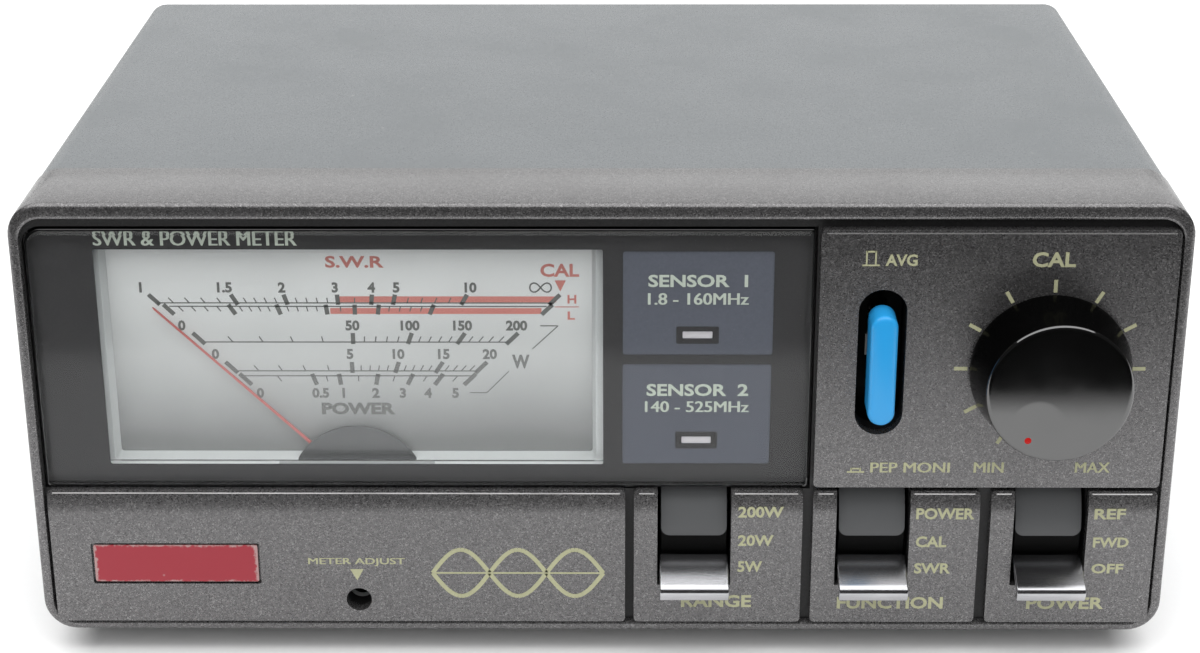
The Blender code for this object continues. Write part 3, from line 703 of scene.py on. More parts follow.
@dataclass(frozen=True)
class Clear(Finish):
    """Polished clear plastic that lets the lamps' light reach what it covers."""

    roughness: float = 0.0
    ior: float = 1.22

    def dress(self, nodes: Nodes, shader: bpy.types.Node) -> None:
        """Makes the shader glass and opens it to shadow rays."""
        shader.inputs["Base Color"].default_value = opaque(self.colour)
        shader.inputs["Transmission Weight"].default_value = 1.0
        place = nodes.place()
        smear = nodes.noise(place, 70.0, 5.0)
        rough = nodes.spread(smear, 0.45, 0.75, self.roughness, self.roughness + 0.03)
        nodes.link(rough, shader.inputs["Roughness"])
        open_way = nodes.add("ShaderNodeBsdfTransparent", {"Color": opaque(self.colour)})
        path = nodes.add("ShaderNodeLightPath")
        ways = {0: path.outputs["Is Shadow Ray"], 1: shader.outputs[0], 2: open_way.outputs[0]}
        blend = nodes.add("ShaderNodeMixShader", ways)
        output = nodes.tree.nodes["Material Output"]
        nodes.link(blend.outputs[0], output.inputs["Surface"])


@dataclass(frozen=True)
class Ink(Finish):
    """Screen-printed ink with a slightly uneven lay."""

    roughness: float = 0.55

    def dress(self, nodes: Nodes, shader: bpy.types.Node) -> None:
        """Mottles the ink's colour a little."""
        shader.inputs["Specular IOR Level"].default_value = 0.15
        place = nodes.place()
        lay = nodes.noise(place, 3200.0, 3.0)
        share = nodes.spread(lay, 0.35, 0.7, 0.0, 0.3)
        thin = tuple(c * 0.75 for c in self.colour)
        nodes.link(nodes.mix(share, opaque(self.colour), opaque(thin)), shader.inputs["Base Color"])
        rough = nodes.spread(lay, 0.3, 0.7, self.roughness - 0.06, self.roughness + 0.08)
        nodes.link(rough, shader.inputs["Roughness"])
        self.emboss(nodes, shader, lay, 0.0004)


@dataclass(frozen=True)
class Enamel(Finish):
    """Badge enamel, rubbed pale towards the plate's edges."""

    wear_and_highlight: Colour = (0.4, 0.28, 0.27)
    half_width: float = 11.0
    half_height: float = 2.8

    def dress(self, nodes: Nodes, shader: bpy.types.Node) -> None:
        """Mixes the rubbed colour in along the edge of the plate."""
        badge = Span.of("badge_plate").centre
        middle = Vector((badge.x * MM, 0.0, BASE_Z + badge.z * MM))
        place = nodes.place()
        local = nodes.add("ShaderNodeMapping", {"Vector": place, "Location": -middle})
        parts = nodes.add("ShaderNodeSeparateXYZ", {"Vector": local.outputs[0]})
        wide, tall = (self.half_width - 0.1) * MM, (self.half_height - 0.1) * MM
        across = nodes.math("SUBTRACT", nodes.math("ABSOLUTE", parts.outputs[0]), wide)
        up = nodes.math("SUBTRACT", nodes.math("ABSOLUTE", parts.outputs[2]), tall)
        nearest = nodes.math("MAXIMUM", across, up)
        ragged = nodes.noise(place, 1800.0, 4.0)
        shift = nodes.spread(ragged, 0.3, 0.7, -0.25 * MM, 0.25 * MM)
        edge = nodes.spread(nodes.math("ADD", nearest, shift), -0.1 * MM, 0.12 * MM, 0.0, 0.85)
        marks = self.group(
            nodes, handling_group(), {"Color": opaque(self.colour), "Roughness": self.roughness, "Dust": 0.5}
        )
        colour = nodes.mix(edge, marks.outputs["Color"], opaque(self.wear_and_highlight))
        nodes.link(colour, shader.inputs["Base Color"])
        nodes.link(marks.outputs["Roughness"], shader.inputs["Roughness"])
        self.emboss(nodes, shader, ragged, 0.01)


@dataclass(frozen=True)
class DialPaint(Finish):
    """White dial paint with a painted shade that darkens it towards its lower edge."""

    # Colour of the painted shade at the plate's lower edge.
    shade_colour: Colour = (0.17, 0.17, 0.17)

    def dress(self, nodes: Nodes, shader: bpy.types.Node) -> None:
        """Mixes the painted shade in from the plate's top to its bottom, with an uneven edge."""
        plate = Span.of("scale_plate")
        place = nodes.place()
        parts = nodes.add("ShaderNodeSeparateXYZ", {"Vector": place})
        cloud = nodes.noise(place, 40.0, 3.0)
        wander = nodes.spread(cloud, 0.3, 0.7, -1.2 * MM, 1.2 * MM)
        height = nodes.math("ADD", parts.outputs[2], wander)
        low, high = BASE_Z + (plate.low + 1.0) * MM, BASE_Z + (plate.high - 2.0) * MM
        share = nodes.spread(height, low, high, 1.0, 0.0)
        colour = nodes.mix(share, opaque(self.colour), opaque(self.shade_colour))
        values = {"Color": colour, "Roughness": self.roughness, "Dust": 0.4}
        marks = self.group(nodes, handling_group(), values)
        self.colour_from(nodes, marks, shader)
        grain = nodes.noise(place, 2600.0, 2.0)
        self.emboss(nodes, shader, grain, self.relief)


@dataclass(frozen=True)
class Laminate(Finish):
    """Circuit board with its tracks under the solder mask."""

    track: Colour = (0.1, 0.32, 0.17)

    def dress(self, nodes: Nodes, shader: bpy.types.Node) -> None:
        """Draws tracks as bands of a stepped cell pattern."""
        place = nodes.place()
        settings = {"distance": "CHEBYCHEV", "feature": "DISTANCE_TO_EDGE"}
        cells = nodes.add("ShaderNodeTexVoronoi", {"Vector": place, "Scale": 260.0}, **settings)
        tracks = nodes.spread(cells.outputs[0], 0.06, 0.1, 1.0, 0.0)
        colour = nodes.mix(tracks, opaque(self.colour), opaque(self.track))
        marks = self.group(nodes, handling_group(), {"Color": colour, "Roughness": self.roughness})
        self.colour_from(nodes, marks, shader)
        self.emboss(nodes, shader, tracks, 0.03)


class Finishes:
    """Every finish of the meter, by the name of what it dresses."""

    bezel = FleckedPaint(
        "charcoal_bezel_paint", (0.132, 0.129, 0.131), 0.28, 0.75,
        fleck=(0.5, 0.49, 0.49), fleck_size=0.13, amount=0.4, relief=0.005,
    )
    # Pale metal for the thin lines along the pads' upper edges, a painted highlight of their rounded edges.
    wear_and_highlight = Metal("rubbed_bezel_edge", (0.62, 0.61, 0.61), 0.35, relief=0.0005)
    # Far darker than the bezel paint: a painted shade for the deep grooves and openings behind the pads.
    groove = FleckedPaint(
        "shaded_groove_paint", (0.02, 0.0195, 0.02), 0.5, 0.2,
        fleck=(0.07, 0.07, 0.07), fleck_size=0.13, amount=0.3, relief=0.005,
    )
    cover = FleckedPaint(
        "grey_cover_enamel", (0.106, 0.117, 0.124), 0.3, 0.1,
        fleck=(0.2, 0.21, 0.22), fleck_size=0.12, amount=0.2, relief=0.004,
    )
    chassis = FleckedPaint(
        "black_chassis_paint", (0.03, 0.03, 0.032), 0.45, 0.1,
        fleck=(0.12, 0.12, 0.12), fleck_size=0.2, amount=0.3, relief=0.01,
    )
    acrylic = Clear("clear_acrylic", (0.96, 0.97, 0.97))
    dial_pane = Clear("clear_dial_pane", (0.97, 0.975, 0.975), ior=1.34)
    mask = Ink("black_back_print", (0.036, 0.035, 0.036), 0.5)
    sensor_panel = Ink("slate_back_print", (0.083, 0.088, 0.108))
    pale_ink = Ink("pale_window_ink", (0.42, 0.46, 0.4))
    panel_ink = Ink("olive_panel_ink", (0.42, 0.42, 0.27))
    rear_ink = Ink("white_rear_ink", (0.6, 0.6, 0.56))
    dial_ink = Ink("grey_dial_ink", (0.17, 0.17, 0.165))
    dial_red = Ink("red_dial_ink", (0.6, 0.24, 0.21))
    # The dial plate carries a painted shade, grey towards its bottom.
    plate = DialPaint("dial_plate_paint", (0.93, 0.93, 0.925), 0.5, relief=0.002)
    housing = Finish("meter_housing_plastic", (0.6, 0.61, 0.61), 0.42, relief=0.006)
    hub = Finish("hub_cover_plastic", (0.07, 0.07, 0.072), 0.3, relief=0.004)
    needle = Finish("red_needle_lacquer", (0.48, 0.13, 0.12), 0.35, relief=0.001)
    badge = Enamel("red_badge_enamel", (0.3, 0.016, 0.03), 0.42)
    knob = Finish("black_knob_plastic", (0.001, 0.001, 0.001), 0.12, ior=1.12, relief=0.0003)
    knob_face = Finish("polished_knob_disc", (0.001, 0.001, 0.001), 0.05, ior=2.1, relief=0.0003)
    gloss_edge = Finish("polished_black_edge", (0.002, 0.002, 0.002), 0.06, ior=1.7, relief=0.0)
    red_dot = Ink("red_pointer_fill", (0.45, 0.01, 0.008), 0.3)
    button = Finish("blue_button_plastic", (0.024, 0.33, 0.72), 0.28, relief=0.002)
    drum = Finish("lever_drum_plastic", (0.002, 0.002, 0.002), 0.5, ior=1.2, relief=0.0005)
    # Satin grey for the leaf over each lever's drum, a painted reflection that the glossy drum shows there.
    reflection_sheet = Finish("dust_leaf_film", (0.085, 0.087, 0.09), 0.4, ior=1.4, relief=0.001)
    black_plastic = Finish("black_moulded_plastic", (0.02, 0.02, 0.021), 0.4, relief=0.006)
    chrome = Metal("satin_chrome", (0.56, 0.56, 0.58), 0.2, line_scale=9000.0, depth=0.04, relief=0.0003)
    zinc = Metal("zinc_plated_sheet", (0.55, 0.55, 0.52), 0.34)
    nickel = Metal("bright_nickel", (0.68, 0.66, 0.62), 0.2, depth=0.08)
    brass = Metal("turned_brass", (0.72, 0.52, 0.22), 0.25)
    copper = Metal("enamelled_copper", (0.62, 0.25, 0.12), 0.3, line_scale=16000.0, depth=0.2, relief=0.02)
    magnet = Metal("sintered_magnet", (0.2, 0.2, 0.21), 0.45, depth=0.2, relief=0.01)
    screw = Metal("black_oxide_screw", (0.09, 0.09, 0.09), 0.35)
    lens = Finish("frosted_lamp_lens", (0.48, 0.46, 0.48), 0.35, coat=0.3, relief=0.01)
    rubber = Finish("black_rubber", (0.025, 0.025, 0.025), 0.85, relief=0.05)
    cream = Finish("cream_insulator", (0.72, 0.66, 0.52), 0.5, relief=0.006)
    board = Laminate("green_board", (0.03, 0.16, 0.07), 0.35)


SLOT_FINISHES = {
    "zinc_sheet": Finishes.zinc,
    "meter_white": Finishes.housing,
    "copper": Finishes.copper,
    "magnet_steel": Finishes.magnet,
    "brass": Finishes.brass,
    "nickel": Finishes.nickel,
    "lamp_lens": Finishes.lens,
    "button_blue": Finishes.button,
    "black_plastic": Finishes.black_plastic,
    "board_green": Finishes.board,
    "insulator_cream": Finishes.cream,
    "rubber": Finishes.rubber,
    "screw_black": Finishes.screw,
    "chrome": Finishes.chrome,
    "clear_plastic": Finishes.dial_pane,
    "cover_paint": Finishes.cover,
    "bezel_paint": Finishes.bezel,
    "black_acrylic": Finishes.mask,
    "badge_red": Finishes.badge,
    "needle_red": Finishes.needle,
    "knob_black": Finishes.knob,
}

NODE_FINISHES = {"chassis": Finishes.chassis, "scale_plate": Finishes.plate}


def dress_packed_nodes() -> None:
    """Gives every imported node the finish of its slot, so that what isn't replaced is dressed too."""
    slots = {part["node"]: part["material_slot"] for part in frame["record"]["subparts"]}
    for name, node in frame["nodes"].items():
        finish = NODE_FINISHES.get(name) or SLOT_FINISHES[slots[name]]
        node.data.materials.clear()
        node.data.materials.append(finish.material())
        log.info("packed node %s dressed as %s", name, finish.name)


# --- Lettering ---------------------------------------------------------------------------------


@dataclass(frozen=True)
class Word:
    """One printed word or number."""

    text: str
    left: float
    right: float
    low: float
    high: float
    weight: float = 0.028
    natural: bool = False

    @classmethod
    def centred(cls, text: str, x: float, z: float, height: float, weight: float = 0.028) -> "Word":
        """A word round a middle place, as wide as its letters ask at that height."""
        return cls(text, x, x, z - height / 2, z + height / 2, weight, True)


def add_word(solid: Solid, word: Word, front: float, thick: float, facing: Facing = Facing.FRONT) -> None:
    """Adds a word's letters to a solid, stretched to its box.

    Args:
        solid: What the letters are added to.
        word: The text and its box.
        front: The Y of the letters' outer face.
        thick: How thick the ink is.
        facing: The way that the print looks.
    """
    curve = bpy.data.curves.new("lettering", "FONT")
    curve.body = word.text
    struck = "M" in word.text
    curve.offset = 0.0 if struck else word.weight
    curve.resolution_u = 3
    curve.extrude = 0.5
    obj = bpy.data.objects.new("lettering", curve)
    bpy.context.scene.collection.objects.link(obj)
    graph = bpy.context.evaluated_depsgraph_get()
    mesh = bpy.data.meshes.new_from_object(obj.evaluated_get(graph))
    bpy.data.objects.remove(obj)
    bpy.data.curves.remove(curve)
    points = [v.co for v in mesh.vertices]
    least = [min(p[i] for p in points) for i in range(3)]
    most = [max(p[i] for p in points) for i in range(3)]
    wide = (word.right - word.left) / (most[0] - least[0])
    tall = (word.high - word.low) / (most[1] - least[1])
    left = word.left
    right = word.right
    if word.natural:
        wide = tall
        half = wide * (most[0] - least[0]) / 2
        left, right = left - half, right + half
    low = (word.low + word.high - tall * (most[1] - least[1])) / 2
    start = left if facing is Facing.FRONT else -right
    flat = Matrix.Translation((start, low, 0)) @ Matrix.Diagonal((wide, tall, thick, 1))
    flat = flat @ Matrix.Translation((-least[0], -least[1], -most[2]))
    mesh.transform(Matrix.Translation((0, front, 0)) @ facing.matrix() @ flat)
    scratch = bmesh.new()
    scratch.from_mesh(mesh)
    bmesh.ops.remove_doubles(scratch, verts=scratch.verts, dist=1e-5)
    scratch.to_mesh(mesh)
    scratch.free()
    shift = word.weight * tall * 0.9 if struck else 0.0
    for strike in (-1, 1, 0) if struck else (0,):
        copy = mesh.copy()
        copy.transform(Matrix.Translation((shift * strike, 0.003 * strike, 0)))
        solid.bm.from_mesh(copy)
        bpy.data.meshes.remove(copy)
    bpy.data.meshes.remove(mesh)


# --- Repeated shapes ---------------------------------------------------------------------------


def set_out_tree() -> bpy.types.NodeTree:
    """Builds, once, the tree that sets copies of one shape out along a row, a fan or both."""
    found = bpy.data.node_groups.get("set_out")
    if found:
        return found
    tree = bpy.data.node_groups.new("set_out", "GeometryNodeTree")
    inputs = (
        ("Piece", "NodeSocketObject"),
        ("Finish", "NodeSocketMaterial"),
        ("Count", "NodeSocketInt"),
        ("Start", "NodeSocketVector"),
        ("Step", "NodeSocketVector"),
        ("Radius", "NodeSocketFloat"),
        ("First Angle", "NodeSocketFloat"),
        ("Angle Step", "NodeSocketFloat"),
        ("Roll", "NodeSocketFloat"),
        ("Seed", "NodeSocketInt"),
    )
    for label, kind in inputs:
        tree.interface.new_socket(label, in_out="INPUT", socket_type=kind)
    tree.interface.new_socket("Geometry", in_out="OUTPUT", socket_type="NodeSocketGeometry")
    nodes = Nodes(tree)
    start = nodes.add("NodeGroupInput").outputs
    index = nodes.add("GeometryNodeInputIndex").outputs[0]
    angle = nodes.math("ADD", start["First Angle"], nodes.math("MULTIPLY", index, start["Angle Step"]))
    out_x = nodes.math("MULTIPLY", nodes.math("COSINE", angle), start["Radius"])
    out_z = nodes.math("MULTIPLY", nodes.math("SINE", angle), start["Radius"])
    fan = nodes.add("ShaderNodeCombineXYZ", {0: out_x, 2: out_z}).outputs[0]
    stride = nodes.add("ShaderNodeVectorMath", {0: start["Step"]}, operation="SCALE")
    tree.links.new(index, stride.inputs["Scale"])
    row = nodes.add("ShaderNodeVectorMath", {0: start["Start"], 1: stride.outputs[0]}, operation="ADD")
    place = nodes.add("ShaderNodeVectorMath", {0: row.outputs[0], 1: fan}, operation="ADD").outputs[0]
    points = nodes.add("GeometryNodePoints", {"Count": start["Count"], "Position": place}).outputs[0]
    chance = nodes.add("FunctionNodeRandomValue", {"Seed": start["Seed"]}, data_type="FLOAT")
    tree.links.new(start["Roll"], chance.inputs[3])
    turn = nodes.math("SUBTRACT", chance.outputs[1], angle)
    rotation = nodes.add("ShaderNodeCombineXYZ", {1: turn}).outputs[0]
    piece = nodes.add("GeometryNodeObjectInfo", {"Object": start["Piece"]}, transform_space="ORIGINAL")
    copies = nodes.add(
        "GeometryNodeInstanceOnPoints",
        {"Points": points, "Instance": piece.outputs["Geometry"], "Rotation": rotation},
    )
    real = nodes.add("GeometryNodeRealizeInstances", {0: copies.outputs[0]})
    dressed = nodes.add("GeometryNodeSetMaterial", {"Geometry": real.outputs[0], "Material": start["Finish"]})
    nodes.add("NodeGroupOutput", {0: dressed.outputs[0]})
    return tree


@dataclass(frozen=True)
class SetOut:
    """How copies of a shape are set out; angles in degrees from +X towards +Z."""

    count: int
    start: tuple[float, float, float]
    step: tuple[float, float, float] = (0.0, 0.0, 0.0)
    radius: float = 0.0
    first_angle: float = 0.0
    angle_step: float = 0.0
    roll: float = 0.0
    seed: int = 1

    def add_to(self, solid: Solid, piece: Solid, finish: Finish) -> None:
        """Sets copies of the piece out with Geometry Nodes and adds them to a solid.

        Args:
            solid: What the copies are added to.
            piece: The shape, round its own origin; its mesh is used up.
            finish: The finish that the copies carry.
        """
        bmesh.ops.recalc_face_normals(piece.bm, faces=piece.bm.faces)
        shape = bpy.data.meshes.new("shape")
        piece.bm.to_mesh(shape)
        piece.bm.free()
        template = bpy.data.objects.new("shape", shape)
        host = bpy.data.objects.new("set out", bpy.data.meshes.new("set out"))
        for obj in (template, host):
            bpy.context.scene.collection.objects.link(obj)
        modifier = host.modifiers.new("set out", "NODES")
        modifier.node_group = set_out_tree()
        values = {
            "Piece": template,
            "Finish": finish.material(),
            "Count": self.count,
            "Start": self.start,
            "Step": self.step,
            "Radius": self.radius,
            "First Angle": math.radians(self.first_angle),
            "Angle Step": math.radians(self.angle_step),
            "Roll": math.radians(self.roll),
            "Seed": self.seed,
        }
        for item in modifier.node_group.interface.items_tree:
            if item.in_out == "INPUT":
                modifier[item.identifier] = values[item.name]
        graph = bpy.context.evaluated_depsgraph_get()
        mesh = bpy.data.meshes.new_from_object(host.evaluated_get(graph))
        host.modifiers.remove(modifier)
        solid.bm.from_mesh(mesh)
        bpy.data.objects.remove(host)
        bpy.data.objects.remove(template)
        for data in (mesh, shape):
            bpy.data.meshes.remove(data)


# --- Measures ----------------------------------------------------------------------------------

HALF_WIDTH = 77.5
HEIGHT = 63.0
CORNER = 4.5
BEZEL_DEPTH = 15.4
FRONT_WALL = 4.0
GROOVE_FLOOR = 1.6
LEDGE = 3.2
FIELD = (-76.0, 76.0, 1.4, 60.9)
LEFT_PAD = (-75.5, 3.3, 1.7, 21.7)
LEVER_PADS = ((4.5, 27.5, 1.7, 21.7), (28.9, 51.6, 1.7, 21.7), (53.1, 75.6, 1.7, 21.7))
CONTROL_PAD = (28.8, 75.6, 22.5, 59.6)
LEVER_SLOT = (5.03, 7.5, 22.1)
POCKET = (-75.9, 28.45, 21.55, 59.6)
METER_OPENING = (-69.6, 2.6, 23.4, 59.0)
LEVER_X = {"range": 12.74, "function": 37.13, "power": 61.3}
LEVER_PIVOT = (11.0, 14.6)
LEVER_REST = 22.4
PIVOT = (-33.5, 20.0)
ADJUST = (-33.5, 5.13)
NEEDLE_REST = -45.5
KNOB = (59.6, 40.1)
KNOB_REST = -150.0
BUTTON = (37.17, 40.9)
LAMP_X = 12.92
LAMP_HEIGHTS = (43.8, 28.35)
PAD_PRINT = (-0.03, 0.05)
SOCKETS = (-58.0, -28.0, 8.0, 38.0)
SOCKET_Z = 36.0
REAR_FACE = 103.0
JACK = (64.0, 20.0)
SELECTOR = (64.0, 45.0)


def turned_on(centre: Point, degrees: float, y: float = 0.0) -> Matrix:
    """Turns a shape about Y and sets it on a centre, given in X and Z."""
    return Matrix.Translation((centre[0], y, centre[1])) @ Matrix.Rotation(math.radians(degrees), 4, "Y")


# --- Casing ------------------------------------------------------------------------------------


@dataclass
class Casing:
    """The painted front, the folded cover, the rear chassis' screws and the feet."""

    paint: Finish = Finishes.bezel
    enamel: Finish = Finishes.cover
    screw_y: tuple[float, float] = (24.0, 92.0)
    screw_z: float = 8.0
    foot_x: float = 60.0
    rim_back: float = 0.45
    seed: int = 7

    def build(self) -> None:
        """Builds the casing's pieces in order."""
        self.front()
        self.cover()
        self.screws()
        self.feet()

    @staticmethod
    def outline(inset: float) -> Outline:
        """The front's outer edge, drawn in by an inset."""
        return rounded(-HALF_WIDTH + inset, HALF_WIDTH - inset, inset, HEIGHT - inset, CORNER - inset, 10)

    @staticmethod
    def field_edge(outset: float) -> Outline:
        """The inner edge of the rim, let out by an outset."""
        left, right, low, high = FIELD
        return rounded(left - outset, right + outset, low - outset, high + outset, 3.0 + outset, 10)

    def rim(self, solid: Solid) -> None:
        """Adds the skirt and its rounded rim as one hollow ring."""
        left, right, low, high = -HALF_WIDTH + 2.2, HALF_WIDTH - 2.2, 2.2, HEIGHT - 2.2
        inside = rounded(left, right, low, high, 2.5, 10)
        back = self.rim_back
        rings: list[Ring] = [
            (GROOVE_FLOOR + 1.2, self.field_edge(0.0)),
            (back + 0.4, self.field_edge(0.0)),
            (back + 0.14, self.field_edge(0.1)),
            (back + 0.02, self.field_edge(0.3)),
            (back, self.field_edge(0.5)),
            (back, self.outline(0.8)),
            (back + 0.06, self.outline(0.45)),
            (back + 0.24, self.outline(0.18)),
            (back + 0.55, self.outline(0.03)),
            (back + 0.9, self.outline(0.0)),
            (BEZEL_DEPTH - 0.35, self.outline(0.0)),
            (BEZEL_DEPTH - 0.1, self.outline(0.1)),
            (BEZEL_DEPTH, self.outline(0.35)),
            (BEZEL_DEPTH, inside),
            (GROOVE_FLOOR + 1.2, inside),
        ]
        solid.loft(Axis.Y, rings, closed=True)

    @staticmethod
    def slot(x: float) -> Outline:
        """The opening that a lever comes through."""
        half, low, high = LEVER_SLOT
        return [(x - half, low), (x + half, low), (x + half, high), (x - half, high)]

    @staticmethod
    def button_slot() -> Outline:
        """The round-ended opening of the push button."""
        x, z = BUTTON
        return rounded(x - 3.2, x + 3.2, z - 10.45, z + 10.45, 3.19, 14)

    @staticmethod
    def notched(pad: tuple[float, float, float, float], x: float) -> Outline:
        """A pad's edge with the lever's notch open at its top."""
        left, right, low, high = pad
        half, floor, _ = LEVER_SLOT
        edge = rounded(left, right, low, high, 0.6, 4)
        notch = [(x + half, high), (x + half, floor), (x - half, floor), (x - half, high)]
        top_left = 15
        return edge[:top_left] + notch + edge[top_left:]

    def back_plates(self) -> Solid:
        """The floor of the grooves and the wall behind it, with every opening."""
        solid = Solid()
        left, right, low, high = FIELD
        outline = rounded(left - 0.6, right + 0.6, low - 0.6, high + 0.6, 3.4, 10)
        p_left, p_right, p_low, p_high = POCKET
        half, floor, _ = LEVER_SLOT
        x = LEVER_X["range"]
        pocket = [(p_left, p_low), (x - half, p_low), (x - half, floor), (x + half, floor), (x + half, p_low)]
        pocket += [(p_right, p_low), (p_right, p_high), *arc(p_left + 2.5, p_high - 2.5, 2.5, 90, 180, 8)]
        slots = [self.slot(LEVER_X["function"]), self.slot(LEVER_X["power"]), self.button_slot()]
        slots += [circle(*KNOB, 4.2, 32), circle(*ADJUST, 1.75, 32)]
        solid.plate(outline, [pocket, *slots], GROOVE_FLOOR, LEDGE)
        left, right, low, high = METER_OPENING
        opening = [(left, low), (right, low), (right, high), (left, high)]
        lamps = [rounded(LAMP_X - 3.5, LAMP_X + 3.5, z - 2, z + 2, 0.3, 2) for z in LAMP_HEIGHTS]
        solid.plate(outline, [opening, *lamps, self.slot(x), *slots], LEDGE, FRONT_WALL)
        return solid

    def front(self) -> None:
        """Builds the front: rim, plates behind and pads, with pads softened; the plates behind wear a far
        darker paint, a painted shade for the grooves.
        """
        rim = Solid()
        self.rim(rim)
        rim.publish("front_rim", self.paint, slot="bezel_paint", stands_for=["front_bezel"])
        self.back_plates().publish("front_openings", Finishes.groove, slot="bezel_paint")
        back = GROOVE_FLOOR + 0.4
        badge = Span.of("badge_plate")
        recess = rounded(badge.left - 0.3, badge.right + 0.3, badge.low - 0.3, badge.high + 0.3, 0.3, 3)
        pads = Solid()
        pads.plate(rounded(*LEFT_PAD, 0.6, 4), [recess, circle(*ADJUST, 1.75, 40)], 0.0, back)
        for pad, x in zip(LEVER_PADS, LEVER_X.values()):
            pads.plate(self.notched(pad, x), [], 0.0, back)
        pads.crowned(LEFT_PAD[3], 3.4, 0.6)
        pads.publish("lower_pads", self.paint, slot="bezel_paint", edge=0.45)
        holes = [self.button_slot(), circle(*KNOB, 4.2, 40)]
        control = Solid().plate(rounded(*CONTROL_PAD, 0.6, 4), holes, 0.0, back)
        control.crowned(CONTROL_PAD[3], 4.4, 0.2)
        control.publish("control_pad", self.paint, slot="bezel_paint", edge=0.45)
        self.edge_highlights()
        edge = rounded(badge.left - 1, badge.right + 1, badge.low - 1, badge.high + 1, 0.3)
        floor = Solid().prism(Axis.Y, edge, 0.7, 1.7)
        floor.publish("badge_recess_floor", self.paint, slot="bezel_paint")

    def edge_highlights(self) -> None:
        """Adds a thin pale line along the upper edge of each pad: a painted highlight where the rounded edge
        catches the light.
        """
        half = LEVER_SLOT[0] + 0.45
        inset, below, width, thick = 0.7, 0.42, 0.19, 0.08
        runs = [(LEFT_PAD[0], LEFT_PAD[1], LEFT_PAD[3], 0.44)]
        for pad, x in zip(LEVER_PADS, LEVER_X.values()):
            runs += [(pad[0], x - half + inset, pad[3], 0.44), (x + half - inset, pad[1], pad[3], 0.44)]
        runs.append((CONTROL_PAD[0], CONTROL_PAD[1], CONTROL_PAD[3], 0.12))
        line = Solid()
        for left, right, top, front in runs:
            line.bar((left + inset, top - below), (right - inset, top - below), width, front, thick)
        line.publish("rubbed_pad_edges", Finishes.wear_and_highlight, slot="bezel_paint")

    def cover(self) -> None:
        """Builds the folded sheet cover with its sheared edges just broken."""
        half, top, r, sheet = 77.2, 62.2, 3.1, 1.2
        low = 1.0

        def outline(inset: float) -> Outline:
            """The inverted U of the sheet, its skin drawn in by an inset."""
            outer = arc(-half + r, top - r, r - inset, 180, 90, 14)
            outer += arc(half - r, top - r, r - inset, 90, 0, 14)
            bend = r - sheet + inset
            inner = arc(half - r, top - r, bend, 0, 90, 14) + arc(-half + r, top - r, bend, 90, 180, 14)
            left = [(-half + sheet - inset, low + inset), (-half + inset, low + inset)]
            right = [(half - inset, low + inset), (half - sheet + inset, low + inset)]
            return left + outer + right + inner

        front, back = BEZEL_DEPTH + 0.3, REAR_FACE
        broken = 0.18
        places = ((front, broken), (front + broken, 0.0), (back - broken, 0.0), (back, broken))
        solid = Solid().loft(Axis.Y, [(along, outline(inset)) for along, inset in places])
        for side in (-1, 1):
            for y in self.screw_y:
                at = side * half
                profile = [(3.5, at), (4.3, at), (4.6, at + side * 0.14)]
                profile += [(4.3, at + side * 0.16), (3.5, at - side * 0.1)]
                solid.turned(Axis.X, (y, self.screw_z), profile, 32, closed=True)
        solid.publish("folded_cover", self.enamel, slot="cover_paint", stands_for=["top_cover"])

    def screws(self) -> None:
        """Sets the four cross-headed cover screws out, each turned its own way."""
        names = [f"cover_screw_{side}_{end}" for side in ("left", "right") for end in ("front", "rear")]
        arm, half = 1.45, 0.25
        corner = [(half, half), (half, arm), (-half, arm)]
        cross = list(corner)
        for _ in range(3):
            corner = [(-b, a) for a, b in corner]
            cross += corner
        solid = Solid()
        for side in (-1, 1):
            outer = 77.4
            profile = [(0, -0.95), (2.1, -0.95), (2.1, -0.05), (2.2, 0.0), (2.75, -0.02)]
            profile += [(3.1, -0.12), (3.2, -0.3), (1.4, -1.9), (1.4, -6.6), (0, -6.6)]
            head = Solid().turned(Axis.Y, (0, 0), [(radius, -side * along) for radius, along in profile], 28)
            head.plate(circle(0, 0, 2.15, 28), [cross], side * 0.03, side * 0.6)
            row = Solid()
            y0, y1 = self.screw_y
            pair = SetOut(2, (0.0, 0.0, 0.0), (y1 - y0, 0.0, 0.0), roll=90.0, seed=self.seed + side)
            pair.add_to(row, head, Finishes.screw)
            stand = Matrix(((0, -1, 0), (1, 0, 0), (0, 0, 1))).to_4x4()
            row.moved(Matrix.Translation((side * outer, y0, self.screw_z)) @ stand)
            solid.absorb(row)
        solid.publish("cover_screws", Finishes.screw, slot="screw_black", stands_for=names)

    def feet(self) -> None:
        """Sets the four turned rubber feet out, each with a well in its underside."""
        names = [f"rubber_foot_{side}_{end}" for side in ("left", "right") for end in ("front", "rear")]
        solid = Solid()
        profile = [(0, 0.5), (6.5, 0.5), (6.5, -2.6), (6.35, -3.1), (5.9, -3.6), (5.2, -3.95), (4.6, -4.0)]
        profile += [(2.9, -4.0), (2.7, -3.85), (2.6, -1.6), (0, -1.6)]
        y0, y1 = self.screw_y
        for x in (-self.foot_x, self.foot_x):
            foot = Solid().turned(Axis.Z, (0, 0), profile, 44)
            SetOut(2, (x, y0, 0.0), (0.0, y1 - y0, 0.0)).add_to(solid, foot, Finishes.rubber)
        solid.publish("rubber_feet", Finishes.rubber, slot="rubber", stands_for=names)


# --- Window and meter --------------------------------------------------------------------------


